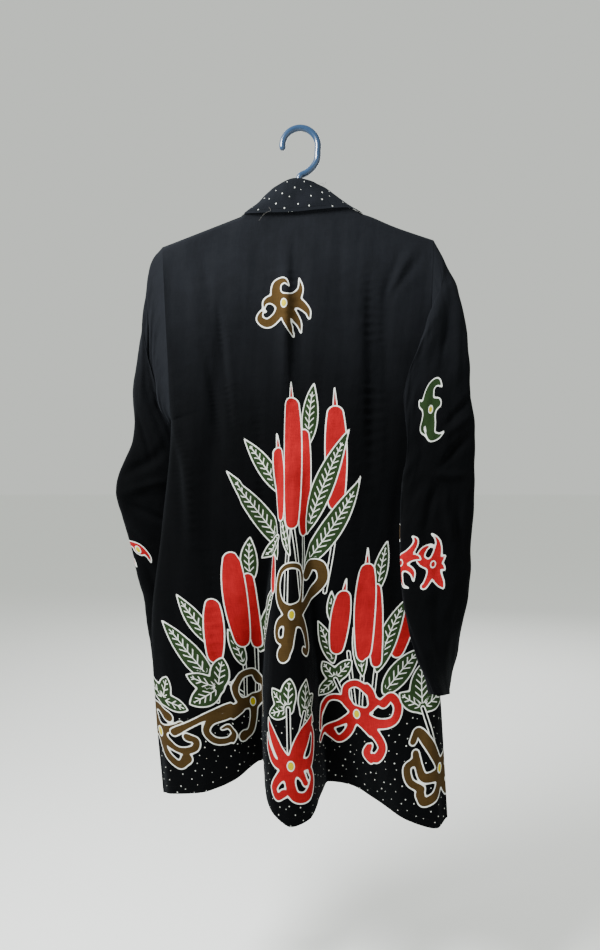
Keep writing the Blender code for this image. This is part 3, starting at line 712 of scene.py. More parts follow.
# arms of each scroll, each a bent line of (x, y, half width) in millimetres from its heart
scrollArms = {
    "crown": [  # over the stems of the middle reeds
        [(-4, 4, 9), (-19, 16, 6.5), (-26, 36, 4.6), (-22, 60, 4.2), (-6, 71, 4.2), (12, 68, 4.2),
         (20, 54, 2.6), (21, 48, 0.8)],
        [(4, 2, 11), (26, 10, 8.5), (46, 26, 8), (62, 48, 8.5), (56, 68, 8.5), (40, 70, 8.5), (33, 58, 8)],
        [(2, 6, 8), (16, 18, 4.5), (20, 40, 3.4), (19, 56, 2.6)],
        [(-4, -6, 9), (-20, -12, 6.5), (-27, -24, 5), (-24, -36, 4.6), (-14, -38, 3.6)],
        [(0, -8, 11), (-4, -30, 9.5), (-8, -46, 9.5), (-15, -58, 9)],
        [(4, -6, 10), (22, -12, 9), (32, -28, 6.5), (36, -46, 5.6), (32, -56, 5.4), (24, -52, 4.6)],
    ],
    "star": [  # the red flower at the foot of the right-hand reeds
        [(-4, 4, 7), (-17, 16, 6.5), (-20, 38, 6), (-4, 47, 6), (16, 36, 6), (24, 18, 5.5)],
        [(-14, 14, 6), (-30, 21, 5), (-46, 18, 4.5), (-54, 2, 4), (-60, -24, 3.2)],
        [(-6, -4, 7), (-26, -18, 5), (-44, -26, 4.5), (-62, -40, 3.5)],
        [(-4, -8, 7), (-12, -30, 6.5), (-26, -42, 6), (-40, -32, 6)],
        [(6, -4, 9), (34, -12, 8), (58, -6, 7), (62, 14, 6.5), (50, 28, 6.5), (40, 18, 6)],
        [(6, -8, 8), (30, -26, 7.5), (46, -46, 7.5), (36, -64, 7.5), (20, -58, 6.5), (24, -46, 5)],
        [(-1, 4, 7), (18, 8, 6.5), (30, 20, 4)],
    ],
    "hearth": [  # the red flower on the big fold
        [(-6, 4, 9), (-18, 20, 8.5), (-28, 36, 8), (-36, 50, 6), (-41, 64, 0.8)],
        [(6, 4, 11), (14, 24, 12), (26, 42, 12), (40, 56, 8), (46, 62, 4)],
        [(-6, 0, 8), (-26, 4, 6), (-40, 22, 5.5), (-46, 42, 0.8)],
        [(-4, -6, 9), (-20, -18, 7), (-30, -32, 6.5), (-24, -44, 6), (-12, -38, 5)],
        [(0, -8, 9), (-2, -24, 8), (4, -42, 8), (20, -46, 8), (32, -36, 7.5), (36, -20, 5.5), (32, -10, 4)],
        [(8, 0, 9), (30, 2, 8), (44, 16, 6.5), (50, 34, 5.5), (46, 46, 4)],
        [(6, -4, 8), (16, -14, 6), (22, -26, 4)],
    ],
    "long": [  # the wide brown one, whose arm runs out to the left
        [(-6, 2, 7), (-22, 8, 5.5), (-26, 26, 5.5), (-12, 44, 5.5), (8, 46, 5.5), (15, 36, 5)],
        [(4, 2, 8), (20, 10, 6.5), (24, 24, 6.5), (16, 32, 5)],
        [(4, 0, 8), (20, 4, 6), (34, 2, 5.5), (36, -12, 5)],
        [(-6, 0, 8), (-36, -2, 6), (-66, -10, 5), (-96, -22, 4.6), (-130, -38, 5)],
        [(-24, -6, 6), (-48, -16, 5.5), (-72, -22, 5.5), (-82, -36, 5.5), (-72, -50, 5.5), (-52, -52, 5),
         (-42, -42, 4.5), (-48, -32, 3.6), (-58, -34, 2.4)],
        [(0, -8, 7), (-4, -26, 6.5), (-12, -44, 6.5), (-26, -48, 7)],
    ],
    "latch": [  # at the left side seam
        [(-2, 6, 7), (-6, 30, 6), (6, 36, 6), (22, 24, 6)],
        [(4, 4, 7), (22, 8, 5), (40, 14, 4.5)],
        [(0, -8, 7), (8, -30, 6), (24, -44, 6.5), (38, -34, 6.5)],
        [(6, -6, 7), (26, -22, 5), (50, -20, 5.5), (56, -8, 5.5), (44, -3, 5)],
        [(-8, 0, 7), (-30, -8, 5.5), (-46, 6, 5), (-40, 20, 5)],
    ],
    "ladle": [  # at the right side seam
        [(-6, 10, 8), (-26, 36, 8), (-44, 54, 6.5), (-50, 40, 4.5)],
        [(-6, -8, 9), (-28, -10, 7), (-38, 8, 5.5), (-44, 24, 4.5)],
        [(-30, -26, 5.5), (-48, -16, 6), (-54, 4, 6), (-42, 14, 5)],
        [(2, -14, 8), (-8, -36, 7), (-26, -44, 7), (-32, -34, 6)],
        [(8, 8, 8), (30, 30, 6.5), (42, 50, 5), (34, 58, 5)],
        [(8, -6, 8), (34, -16, 6), (48, -4, 5.5), (42, 10, 5)],
        [(4, -12, 7), (22, -36, 6), (40, -34, 5.5)],
    ],
    "flutter": [  # alone, high on the back
        [(-2, 2, 11), (-12, 16, 9), (-10, 32, 7), (2, 37, 4.5), (10, 29, 0.6)],
        [(-6, 0, 9), (-20, 7, 7), (-31, 3, 4.2), (-35, -9, 0.6)],
        [(-2, -4, 10), (-14, -21, 7.5), (-29, -31, 7.5), (-41, -24, 6.0), (-38, -13, 2.6), (-31, -12, 0.6)],
        [(2, 4, 10), (20, 10, 8.5), (30, 24, 5.0), (28, 42, 0.5)],
        [(6, 0, 10), (26, 2, 8.5), (42, -10, 5.5), (46, -22, 2.0)],
        [(4, -4, 10), (16, -16, 8), (27, -30, 5.0), (31, -45, 1.0)],
        [(0, -4, 10), (4, -24, 8), (12, -40, 5.5), (19, -52, 1.2)],
    ],
    "claw": [  # on the sleeves
        [(-4, 0, 14), (-4, 24, 14), (4, 40, 11), (20, 42, 7), (30, 28, 0.8)],
        [(-4, 0, 14), (-6, -24, 12), (-8, -44, 9), (6, -54, 5), (20, -53, 0.8)],
        [(2, 4, 13), (16, 2, 9), (22, -6, 0.8)],
        [(-12, 16, 8), (-22, 24, 5), (-27, 36, 0.8)],
        [(-16, -8, 7), (-26, -20, 5), (-20, -36, 0.8)],
    ],
    "ember": [  # red, by the elbow
        [(0, 2, 11), (7, 22, 9), (8, 42, 5), (2, 56, 2.5), (-6, 65, 0.8)],
        [(-2, 0, 10), (-18, 7, 9), (-26, 20, 8.5), (-20, 35, 6.5), (-8, 41, 2.5), (-1, 37, 0.8)],
        [(2, -4, 10), (9, -26, 9.5), (16, -40, 7), (22, -51, 1.5)],
        [(0, -6, 9), (-6, -24, 7), (-12, -37, 6), (-16, -42, 5)],
        [(6, 2, 8), (16, 7, 5), (23, 14, 0.8)],
        [(6, -4, 8), (17, -8, 5), (23, -15, 0.8)],
    ],
    "spark": [  # beside the ember, half round the sleeve's edge
        [(2, 8, 10), (16, 18, 8), (26, 32, 5.5), (27, 43, 3.5), (21, 51, 0.8)],
        [(6, 4, 9), (22, 7, 7), (32, 5, 4.5), (38, 0, 0.8)],
        [(2, -10, 7), (15, -13, 6), (25, -23, 4.5), (28, -39, 0.8)],
        [(0, -16, 4), (4, -38, 3), (10, -47, 2), (19, -51, 0.8)],
        [(-6, 0, 8), (-24, 6, 7), (-36, -6, 5)],
    ],
    "sickle": [  # one curved arm round the outer edge
        [(-30, 2, 5), (-10, 8, 5.5), (8, 4, 5.5), (18, -8, 4.5), (20, -20, 0.8)],
        [(-30, -20, 4), (-20, -26, 4), (-14, -38, 1.0)],
    ],
}

backPrint = [
    ("scroll", (-21, -262), "flutter", "brown", 0.92, 0),
    # the middle reeds
    ("stem", (56, -560), (52, -620), (40, -690)),
    ("stem", (-13, -588), (-16, -640), (-18, -705)),
    ("stem", (-8, -592), (0, -645), (6, -700)),
    ("stem", (10, -600), (10, -650), (8, -715)),
    ("leaf", (24, -380), (15, -472), 27),
    ("leaf", (-80, -460), (-30, -545), 25, -0.05),
    ("leaf", (-106, -510), (-32, -640), 31, -0.05),
    ("leaf", (-54, -640), (-30, -605), 20),
    ("leaf", (-27, -555), (-12, -634), 14),
    ("reed", (-29, -475), (-27, -584), 25, 20),
    ("reed", (9, -448), (10, -606), 27),
    ("reed", (55, -413), (56, -568), 33, 26),
    ("leaf", (76, -448), (15, -604), 31),
    ("leaf", (93, -517), (11, -660), 33, -0.04),
    ("reed", (-10, -401), (-10, -595), 33, 22),
    ("scroll", (-9, -719), "crown", "brown"),
    # the left reeds
    ("stem", (-120, -790), (-118, -850)),
    ("stem", (-100, -825), (-74, -850)),
    ("stem", (-81, -770), (-78, -850)),
    ("stem", (-62, -772), (-62, -860)),
    ("leaf", (-71, -608), (-70, -674), 26),
    ("leaf", (-180, -693), (-126, -768), 26, -0.05),
    ("leaf", (-202, -732), (-124, -824), 33, -0.05),
    ("leaf", (-104, -744), (-80, -800), 21, -0.05),
    ("leaf", (-34, -676), (-58, -784), 30),
    ("reed", (-38, -634), (-38, -690), 18),
    ("reed", (-126, -699), (-122, -794), 29, 0, 2),
    ("reed", (-75, -662), (-60, -777), 23, 0, -2),
    ("reed", (-99, -630), (-80, -773), 36),
    ("ivy", (-117, -830), [(-40, 20), (18, 44), (-46, -22)]),
    ("ivy", (-200, -848), [(16, 34), (36, -12), (-24, 30)]),
    ("scroll", (-204, -896), "latch", "brown"),
    ("scroll", (-68, -858), "long", "brown"),
    # the red flower on the fold
    ("ivy", (-14, -850), [(-30, 26), (4, 42), (-38, -10)]),
    ("ivy", (10, -858), [(34, 20), (8, 46), (30, -18)]),
    ("stem", (-14, -850), (-12, -920)),
    ("stem", (10, -858), (-6, -922)),
    ("scroll", (-10, -930), "hearth", "red"),
    # the right reeds
    ("stem", (75, -780), (84, -860)),
    ("stem", (97, -788), (93, -868)),
    ("stem", (116, -797), (108, -868)),
    ("leaf", (133, -613), (118, -688), 21),
    ("leaf", (50, -688), (55, -740), 15),
    ("leaf", (30, -734), (53, -798), 21, -0.05),
    ("leaf", (82, -742), (96, -815), 19, -0.05),
    ("reed", (168, -712), (144, -786), 27),
    ("leaf", (162, -698), (116, -808), 29),
    ("leaf", (184, -773), (126, -838), 33),
    ("reed", (115, -677), (116, -800), 22),
    ("reed", (69, -687), (57, -784), 29, 18),
    ("reed", (103, -647), (97, -791), 31, 23),
    ("ivy", (56, -822), [(-22, 26), (22, 32), (-24, -26)]),
    ("stem", (56, -822), (74, -862)),
    ("scroll", (87, -873), "star", "red"),
    ("ivy", (184, -858), [(-8, 64), (46, 28), (-38, 22)]),
    ("stem", (184, -858), (204, -932)),
    ("scroll", (208, -944), "ladle", "brown"),
]

print("print designs ready")


def feed(tree, sockets, inputs):
    # another node's output is linked, and any other value is set on the socket
    for key, value in inputs.items():
        if isinstance(value, bpy.types.NodeSocket):
            tree.links.new(value, sockets[key])
        else:
            sockets[key].default_value = value


def wire(tree, kind, inputs=None, **settings):
    node = tree.nodes.new(kind)
    for name, value in settings.items():
        setattr(node, name, value)
    feed(tree, node.inputs, inputs or {})
    return node


def calc(tree, operation, *values, clamp=False):
    values = dict(enumerate(values))
    return wire(tree, "ShaderNodeMath", values, operation=operation, use_clamp=clamp).outputs[0]


def below(tree, value, softness):
    # 1 where the distance is below 0, over a soft edge this wide
    return calc(tree, "MULTIPLY_ADD", value, -1 / softness, 0.5, clamp=True)


def mixColour(tree, share, first, second, blend="MIX"):
    node = wire(tree, "ShaderNodeMix", data_type="RGBA", blend_type=blend)
    feed(tree, node.inputs, {0: share, 6: first, 7: second})
    return node.outputs[2]


def newGroup(name, inputs, outputs):
    # every group works from a place on the cloth and the numbers named here
    group = bpy.data.node_groups.new(name, "ShaderNodeTree")
    group.interface.new_socket(name="Place", in_out="INPUT", socket_type="NodeSocketVector")
    for label, value in inputs.items():
        socket = group.interface.new_socket(name=label, in_out="INPUT", socket_type="NodeSocketFloat")
        socket.default_value = value
    for label in outputs:
        group.interface.new_socket(name=label, in_out="OUTPUT", socket_type="NodeSocketFloat")
    return group, group.nodes.new("NodeGroupInput").outputs, group.nodes.new("NodeGroupOutput").inputs


def useGroup(tree, group, inputs):
    return wire(tree, "ShaderNodeGroup", inputs, node_tree=group).outputs


def scaledPlace(tree, place, scale):
    return wire(tree, "ShaderNodeVectorMath", {0: place, 1: scale}, operation="MULTIPLY").outputs[0]


def noise(tree, place, scale, detail=2.0, rough=0.5):
    inputs = {"Vector": place, "Scale": scale, "Detail": detail, "Roughness": rough}
    return wire(tree, "ShaderNodeTexNoise", inputs).outputs[0]


def parts(tree, vector):
    return wire(tree, "ShaderNodeSeparateXYZ", {0: vector}).outputs


def makeWeave():
    # plain weave: crossing threads, a few of them thicker, and small crumples of worn cotton
    inputs = {"Threads per metre": 1900.0, "Slub": 0.5, "Crumple": 1.0}
    group, given, gives = newGroup("cottonWeave", inputs, ["Height", "Tone"])
    turns = calc(group, "MULTIPLY", given["Threads per metre"], 2 * math.pi)
    split = parts(group, given["Place"])
    warp = calc(group, "SINE", calc(group, "MULTIPLY", split[0], turns))
    weft = calc(group, "SINE", calc(group, "MULTIPLY", split[1], turns))
    weave = calc(group, "MULTIPLY", warp, weft)
    slubAcross = noise(group, scaledPlace(group, given["Place"], (60.0, 900.0, 1.0)), 1.0, 1.0)
    slubDown = noise(group, scaledPlace(group, given["Place"], (900.0, 60.0, 1.0)), 1.0, 1.0)
    slubs = calc(group, "MULTIPLY", calc(group, "ADD", slubAcross, slubDown), given["Slub"])
    crumple = noise(group, given["Place"], 55.0, 4.0, 0.55)
    crumples = calc(group, "MULTIPLY", crumple, given["Crumple"])
    fine = calc(group, "MULTIPLY_ADD", weave, 0.04, calc(group, "MULTIPLY", slubs, 0.16))
    group.links.new(calc(group, "ADD", fine, crumples), gives["Height"])
    tone = calc(group, "MULTIPLY_ADD", slubs, 0.8, calc(group, "MULTIPLY_ADD", weave, 0.05, 0.6))
    group.links.new(tone, gives["Tone"])
    return group


def makeDots():
    # small dots of wax, each a little out of its row
    inputs = {"Spacing": 0.0135, "Radius": 0.0012, "Scatter": 0.5}
    group, given, gives = newGroup("waxDots", inputs, ["Mask"])
    finer = calc(group, "DIVIDE", 1.0, given["Spacing"])
    rowsTurn = {"Vector": given["Place"], "Angle": math.radians(28)}
    turned = wire(group, "ShaderNodeVectorRotate", rowsTurn).outputs[0]
    placed = wire(group, "ShaderNodeVectorMath", {0: turned, "Scale": finer}, operation="SCALE").outputs[0]
    grid = {"Vector": placed, "Scale": 1.0, "Randomness": given["Scatter"]}
    cells = wire(group, "ShaderNodeTexVoronoi", grid, voronoi_dimensions="2D").outputs
    metres = calc(group, "MULTIPLY", cells["Distance"], given["Spacing"])
    chance = wire(group, "ShaderNodeSeparateColor", {0: cells["Color"]}).outputs[0]
    unevenSize = calc(group, "MULTIPLY_ADD", chance, 0.7, 0.6)
    edge = calc(group, "SUBTRACT", metres, calc(group, "MULTIPLY", given["Radius"], unevenSize))
    group.links.new(below(group, edge, 0.0005), gives["Mask"])
    return group


def makeDye():
    # uneven dye and a little bloom where the cloth has rubbed
    group, given, gives = newGroup("dyeTone", {"Patch scale": 14.0, "Spread": 0.35}, ["Tone"])
    broad = noise(group, given["Place"], given["Patch scale"], 3.0, 0.6)
    tone = calc(group, "MULTIPLY_ADD", calc(group, "SUBTRACT", broad, 0.5), given["Spread"], 1.0)
    group.links.new(tone, gives["Tone"])
    return group


cottonWeave, waxDots, dyeTone = makeWeave(), makeDots(), makeDye()

inkColours = {
    "ground": (0.0011, 0.0012, 0.0014, 1),
    "paintedLightGround": (0.0062, 0.0068, 0.0084, 1),  # where the black has faded
    # painted light: the black ground made paler towards the shoulders, as if lit from above
    "bandGround": (0.0058, 0.0066, 0.0084, 1),
    "red": (0.320, 0.010, 0.013, 1), "redShade": (0.170, 0.004, 0.005, 1),
    "green": (0.013, 0.027, 0.009, 1), "brown": (0.040, 0.023, 0.007, 1),
    "yellow": (0.420, 0.340, 0.0, 1), "wax": (0.600, 0.615, 0.570, 1),
}
# slubs and crumples, the dye's unevenness, the relief and the roughness of the cotton
cotton = {
    "slub": 0.5, "crumple": 1.0, "patches": 14.0, "dyeSpread": 0.5,
    "relief": 0.5, "reliefDepth": 0.0016, "roughSpread": 0.12, "roughFrom": 0.72,
}
# heights in the flat cloth, in metres (the first two span the painted light that makes the black ground paler
# towards the shoulders), and the two sets of wax dots
groundPrint = {
    "paintedLightFrom": -0.50, "paintedLightFull": -0.12, "dotsBelow": -0.880, "soft": 0.5,
    "hemDots": {"Spacing": 0.0140, "Radius": 0.00072, "Scatter": 0.62},
    "bandDots": {"Spacing": 0.0172, "Radius": 0.00082, "Scatter": 0.35},
}


def newMaterial(name, **fixed):
    # the values that are the same all over go on the shader's own sockets
    material = bpy.data.materials.new(name)
    material.use_nodes = True
    shader = material.node_tree.nodes["Principled BSDF"].inputs
    for label, value in fixed.items():
        shader[label].default_value = value
    return material, material.node_tree, shader


def cottonMaterial(name, printed):
    material, tree, shader = newMaterial(name, **{
        "Sheen Weight": 0.022, "Sheen Roughness": 0.5, "Sheen Tint": (0.80, 0.88, 1.0, 1),
        "Specular IOR Level": 0.02,
    })
    place = wire(tree, "ShaderNodeAttribute", attribute_name="flat").outputs["Vector"]
    woven = {"Place": place, "Slub": cotton["slub"], "Crumple": cotton["crumple"]}
    weave = useGroup(tree, cottonWeave, woven)
    dyed = {"Place": place, "Patch scale": cotton["patches"], "Spread": cotton["dyeSpread"]}
    dye = useGroup(tree, dyeTone, dyed)["Tone"]
    tone = calc(tree, "MULTIPLY", weave["Tone"], dye)
    toneColour = wire(tree, "ShaderNodeCombineColor", {0: tone, 1: tone, 2: tone}).outputs[0]
    if printed:
        colour = printColour(tree, place)
    else:
        dots = useGroup(tree, waxDots, {"Place": place, **groundPrint["bandDots"]})
        colour = mixColour(tree, dots["Mask"], inkColours["bandGround"], inkColours["wax"])
    colour = mixColour(tree, 1.0, colour, toneColour, "MULTIPLY")
    rough = calc(tree, "MULTIPLY_ADD", weave["Tone"], cotton["roughSpread"], cotton["roughFrom"])
    relief = {"Height": weave["Height"], "Strength": cotton["relief"], "Distance": cotton["reliefDepth"]}
    bump = wire(tree, "ShaderNodeBump", relief)
    feed(tree, shader, {"Base Color": colour, "Roughness": rough, "Normal": bump.outputs[0]})
    return material


def printColour(tree, place):
    split = {}
    for layer, names in printLayers.items():
        vector = wire(tree, "ShaderNodeAttribute", attribute_name=layer).outputs["Vector"]
        split.update(zip(names, parts(tree, vector)))
    wobble = calc(tree, "MULTIPLY_ADD", noise(tree, place, 260.0, 2.0), 1.5, -0.75)  # the waxer's hand
    outline = wax["far"]
    for name in outlines:
        outline = calc(tree, "MINIMUM", calc(tree, "ABSOLUTE", split[name]), outline)
    outline = calc(tree, "SUBTRACT", outline, wax["line"] / 2)
    # painted light: the black ground grows paler towards the shoulders, where more light falls
    height = parts(tree, place)[1]
    paintedLightRange = {"Value": height, "From Min": groundPrint["paintedLightFrom"], "From Max": groundPrint["paintedLightFull"]}
    paintedLightShare = wire(tree, "ShaderNodeMapRange", paintedLightRange, interpolation_type="SMOOTHSTEP").outputs[0]
    colour = mixColour(tree, paintedLightShare, inkColours["ground"], inkColours["paintedLightGround"])
    # dots of wax over the hem's border, clear of the motifs
    drift = calc(tree, "MULTIPLY_ADD", noise(tree, place, 9.0, 1.0), 0.06, -0.03)
    above = calc(tree, "SUBTRACT", calc(tree, "ADD", height, drift), groundPrint["dotsBelow"])
    border = below(tree, above, 0.004)
    dots = useGroup(tree, waxDots, {"Place": place, **groundPrint["hemDots"]})
    clear = calc(tree, "GREATER_THAN", outline, 2.0)
    colour = mixColour(tree, calc(tree, "MULTIPLY", calc(tree, "MULTIPLY", dots["Mask"], border), clear),
                       colour, inkColours["wax"])
    unevenRed = mixColour(tree, noise(tree, place, 24.0, 2.0), inkColours["redShade"], inkColours["red"])
    for name in inks:
        ink = unevenRed if name == "red" else inkColours[name]
        colour = mixColour(tree, below(tree, split[name], groundPrint["soft"]), colour, ink)
    # feathered veins: a midrib, and side veins that slant towards the tip
    aside = calc(tree, "ABSOLUTE", split["aside"])
    slant = calc(tree, "MULTIPLY_ADD", aside, -veinShape["rise"], split["onward"])
    saw = calc(tree, "FRACT", calc(tree, "DIVIDE", slant, veinShape["pitch"]))
    fromMiddle = calc(tree, "ABSOLUTE", calc(tree, "SUBTRACT", saw, 0.5))
    fromVein = calc(tree, "MULTIPLY", fromMiddle, veinShape["pitch"] * veinShape["slope"])
    rib = calc(tree, "SUBTRACT", aside, veinShape["rib"])
    vein = calc(tree, "MINIMUM", rib, calc(tree, "SUBTRACT", fromVein, veinShape["side"]))
    vein = calc(tree, "MAXIMUM", vein, split["vein"])
    line = calc(tree, "MULTIPLY_ADD", wobble, 0.4, calc(tree, "MINIMUM", outline, vein))
    return mixColour(tree, below(tree, line, groundPrint["soft"]), colour, inkColours["wax"])


printedCotton = cottonMaterial("printedCotton", True)
dottedCotton = cottonMaterial("dottedCotton", False)


plastic = {
    "deep": (0.005, 0.021, 0.054, 1), "pale": (0.010, 0.034, 0.080, 1),
    "scuffs": (40.0, 40.0, 900.0), "roughSpread": 0.22, "roughFrom": 0.16,
}


def plasticMaterial():
    material, tree, shader = newMaterial("hangerPlastic", **{"Coat Weight": 0.3, "Coat Roughness": 0.12})
    place = wire(tree, "ShaderNodeTexCoord").outputs["Object"]
    cloud = noise(tree, place, 60.0, 3.0)
    scuffs = noise(tree, scaledPlace(tree, place, plastic["scuffs"]), 1.0, 3.0)
    ripple = noise(tree, place, 240.0, 2.0)
    colour = mixColour(tree, cloud, plastic["deep"], plastic["pale"])
    rough = calc(tree, "MULTIPLY_ADD", scuffs, plastic["roughSpread"], plastic["roughFrom"])
    bump = wire(tree, "ShaderNodeBump", {"Height": ripple, "Strength": 0.15, "Distance": 0.0006})
    feed(tree, shader, {"Base Color": colour, "Roughness": rough, "Normal": bump.outputs[0]})
    return material


def threadMaterial(name, colour):
    material, tree, shader = newMaterial(name, **{"Specular IOR Level": 0.1})
    fleck = noise(tree, wire(tree, "ShaderNodeTexCoord").outputs["Object"], 900.0, 2.0)
    darker = tuple(0.6 * part for part in colour[:3]) + (1,)
    rough = calc(tree, "MULTIPLY_ADD", fleck, 0.2, 0.6)
    feed(tree, shader, {"Base Color": mixColour(tree, fleck, darker, colour), "Roughness": rough})
    return material


hangerPlastic = plasticMaterial()
blackThread = threadMaterial("blackThread", (0.003, 0.003, 0.004, 1))
paleThread = threadMaterial("paleThread", (0.085, 0.082, 0.075, 1))
print("materials ready")


body = "root"
edges = {}  # outer points and normals of each sheet, for the stitches


def finishPiece(piece, node):
    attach(piece, body)
    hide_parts(node)


def reportCloth(piece):
    faces = piece.data.polygons
    area = sum(face.area for face in faces)
    print(f"{piece.name}: {2 * len(faces)} triangles, {area:.3f} square metres")


def rowsBetween(stops):
    # places down a panel: (start, end, step) stretches in metres below its top, end to end
    rows = []
    for start, end, step in stops:
        rows.extend(np.linspace(start, end, max(int(round((end - start) / step)), 1), endpoint=False))
    return np.array(rows + [stops[-1][1]])


back = {
    "columns": 272, "length": 0.877,
    "waves": [(0.085, 0.0009), (0.034, 0.00032), (0.014, 0.00010)], "seed": 4, "stretch": 0.6,
    "calmSide": 0.05, "calmTop": 0.03,  # shares of the panel in which creases die away
    # (length down from the neck seam, to, step)
    "rows": [(0, 0.0068, 0.0011), (0.0068, 0.085, 0.006), (0.085, 0.190, 0.0025), (0.190, 0.250, 0.006),
             (0.250, 0.877, 0.00225)],
    # x, z of three points on each crease, then width and height, in millimetres
    "creases": [
        (-20, -150, -21, -250, -19, -400, 7.5, 1.8),
        (-6, -160, -9, -270, -7, -420, 6, -2.2),
        (-119, -260, -112, -340, -98, -450, 4.5, -2.2),
        (-110, -260, -102, -340, -90, -450, 6, 1.4),
        (-138, -320, -126, -400, -112, -480, 7, -2.6),
        (-196, -420, -166, -455, -158, -620, 8.5, 3.2),
        (-186, -470, -172, -520, -172, -640, 8, -2.8),
        (106, -200, 104, -330, 110, -540, 8, -3.6),
        (122, -215, 121, -330, 126, -520, 7.5, 2.2),
        (190, -185, 160, -215, 140, -250, 6, -2.4),
        (156, -176, 142, -210, 126, -260, 6, -2),
        (176, -176, 152, -208, 134, -250, 5.5, 1.8),
        (60, -140, 66, -220, 64, -330, 8, -1.2),
        (-60, -140, -64, -210, -70, -300, 8, -1.2),
        (-150, -170, -130, -230, -128, -310, 8, -1.6),
        (-170, -180, -154, -240, -150, -330, 9, 1.2),
        (30, -300, 36, -420, 30, -560, 10, -1.6),
        (80, -420, 76, -560, 84, -700, 10, 2),
        (150, -520, 140, -620, 146, -740, 10, -2.4),
        (-60, -400, -56, -520, -50, -640, 8, -2.6),
        (-130, -620, -120, -760, -110, -940, 12, -2.4),
        (-166, -640, -162, -800, -156, -950, 11, 2.2),
        (150, -790, 136, -880, 128, -980, 11, 2.2),
        (186, -800, 176, -900, 172, -1000, 9, -2.4),
        (-10, -700, -14, -800, -16, -950, 8, 1.6),
    ],
}


def wrinkled(grid, facing, kept, height):
    # the grid moved out along its own normals, and the normals it then has
    points, u, v, fields = grid
    points = points + outward(points, facing) * (height * kept)[..., None]
    return (points, u, v, fields), outward(points, facing)


def makeBack():
    acrossFine = np.linspace(-1, 1, 2001)
    length = arcs(backPoint(acrossFine, np.ones_like(acrossFine))[None], 1)[0]
    across = np.interp(np.linspace(0, length[-1], back["columns"] + 1), length, acrossFine)
    down = rowsBetween(back["rows"]) / back["length"]
    acrossGrid, downGrid = np.meshgrid(across, down)
    points = backPoint(acrossGrid, downGrid)
    middle = np.argmin(np.abs(across))
    u = arcs(points, 1)
    u = u - u[:, middle:middle + 1]
    v = points[0, :, 2][None] - arcs(points, 0)
    sheet = newPrint(points, u, v)
    drawAll(sheet, backPrint)
    kept = smooth((1 - np.abs(acrossGrid)) / back["calmSide"]) * smooth(downGrid / back["calmTop"])
    height = creaseHeight(back["creases"], points[..., 0], points[..., 2])
    height = height + wavesOver(u, v * back["stretch"], back["waves"], back["seed"])
    grid, out = wrinkled((points, u, v, printFields(sheet)), 1, kept, height)
    edges["back"] = (grid[0], out)
    points, u, v, fields = turnHem(grid, out)
    piece = meshFromGrid("backPanel", points, u, v, 1, printedCotton, fields)
    finishPiece(piece, "back")
    reportCloth(piece)


front = {
    "columns": 88, "closerAtEdges": 0.35,
    "rows": [(0, 0.0068, 0.0011), (0.0068, 0.40, 0.007), (0.40, 0.85, 0.00235)],
    "waves": [(0.090, 0.0011), (0.036, 0.00036), (0.015, 0.00010)], "seed": 20, "stretch": 0.6,
    "calmSide": 0.08, "calmEdge": 0.10, "calmTop": 0.03,
    "creases": {
        "left": [
            (-150, -190, -120, -240, -108, -340, 8, -2.4),
            (-110, -180, -100, -240, -94, -320, 7, 1.8),
            (-168, -420, -140, -500, -136, -640, 9, -3),
            (-90, -360, -84, -480, -90, -620, 9, 2.4),
            (-150, -660, -140, -780, -146, -930, 10, -2.2),
            (-80, -640, -88, -760, -80, -900, 9, -2),
        ],
        "right": [
            (150, -190, 126, -250, 118, -330, 8, -2.2),
            (112, -190, 106, -260, 98, -340, 7.5, 1.6),
            (170, -430, 146, -510, 140, -660, 9, -3.2),
            (80, -330, 88, -450, 84, -600, 8, 2),
            (130, -640, 140, -780, 134, -940, 10, 2.4),
            (180, -660, 178, -800, 186, -960, 9, -2.2),
        ],
    },
}

frontPrint = {
    # x as seen from the front, so the wearer's left front is on the right
    "left": [
        ("stem", (128, -770), (126, -860)),
        ("stem", (104, -790), (112, -866)),
        ("leaf", (176, -672), (140, -764), 27),
        ("leaf", (82, -640), (110, -742), 27),
        ("leaf", (72, -742), (106, -816), 26),
        ("leaf", (188, -752), (142, -826), 29),
        ("reed", (150, -668), (142, -772), 27, 20),
        ("reed", (104, -690), (108, -788), 26, 0),
        ("reed", (128, -624), (126, -766), 33, 24),
        ("ivy", (176, -858), [(18, 36), (-28, 28), (26, -20)]),
        ("ivy", (76, -846), [(-14, 38), (26, 26), (-18, -24)]),
        ("scroll", (122, -876), "crown", "red", 0.92, -6),
        ("scroll", (206, -896), "latch", "brown", 1.0, 0, True),
        ("scroll", (62, -934), "hearth", "brown", 0.72, 30),
    ],
    "right": [
        ("stem", (-126, -780), (-124, -868)),
        ("stem", (-148, -800), (-138, -872)),
        ("leaf", (-84, -676), (-112, -776), 28),
        ("leaf", (-186, -690), (-146, -786), 28, -0.05),
        ("leaf", (-74, -760), (-114, -830), 28),
        ("reed", (-150, -700), (-144, -796), 26, 18),
        ("reed", (-104, -706), (-112, -802), 25, 0),
        ("reed", (-126, -640), (-128, -784), 33, 24),
        ("ivy", (-80, -868), [(20, 32), (-26, 30), (16, -28)]),
        ("scroll", (-128, -890), "star", "red", 0.95, 6, True),
        ("scroll", (-220, -944), "ladle", "brown", 1.0, 0, True),
    ],
}


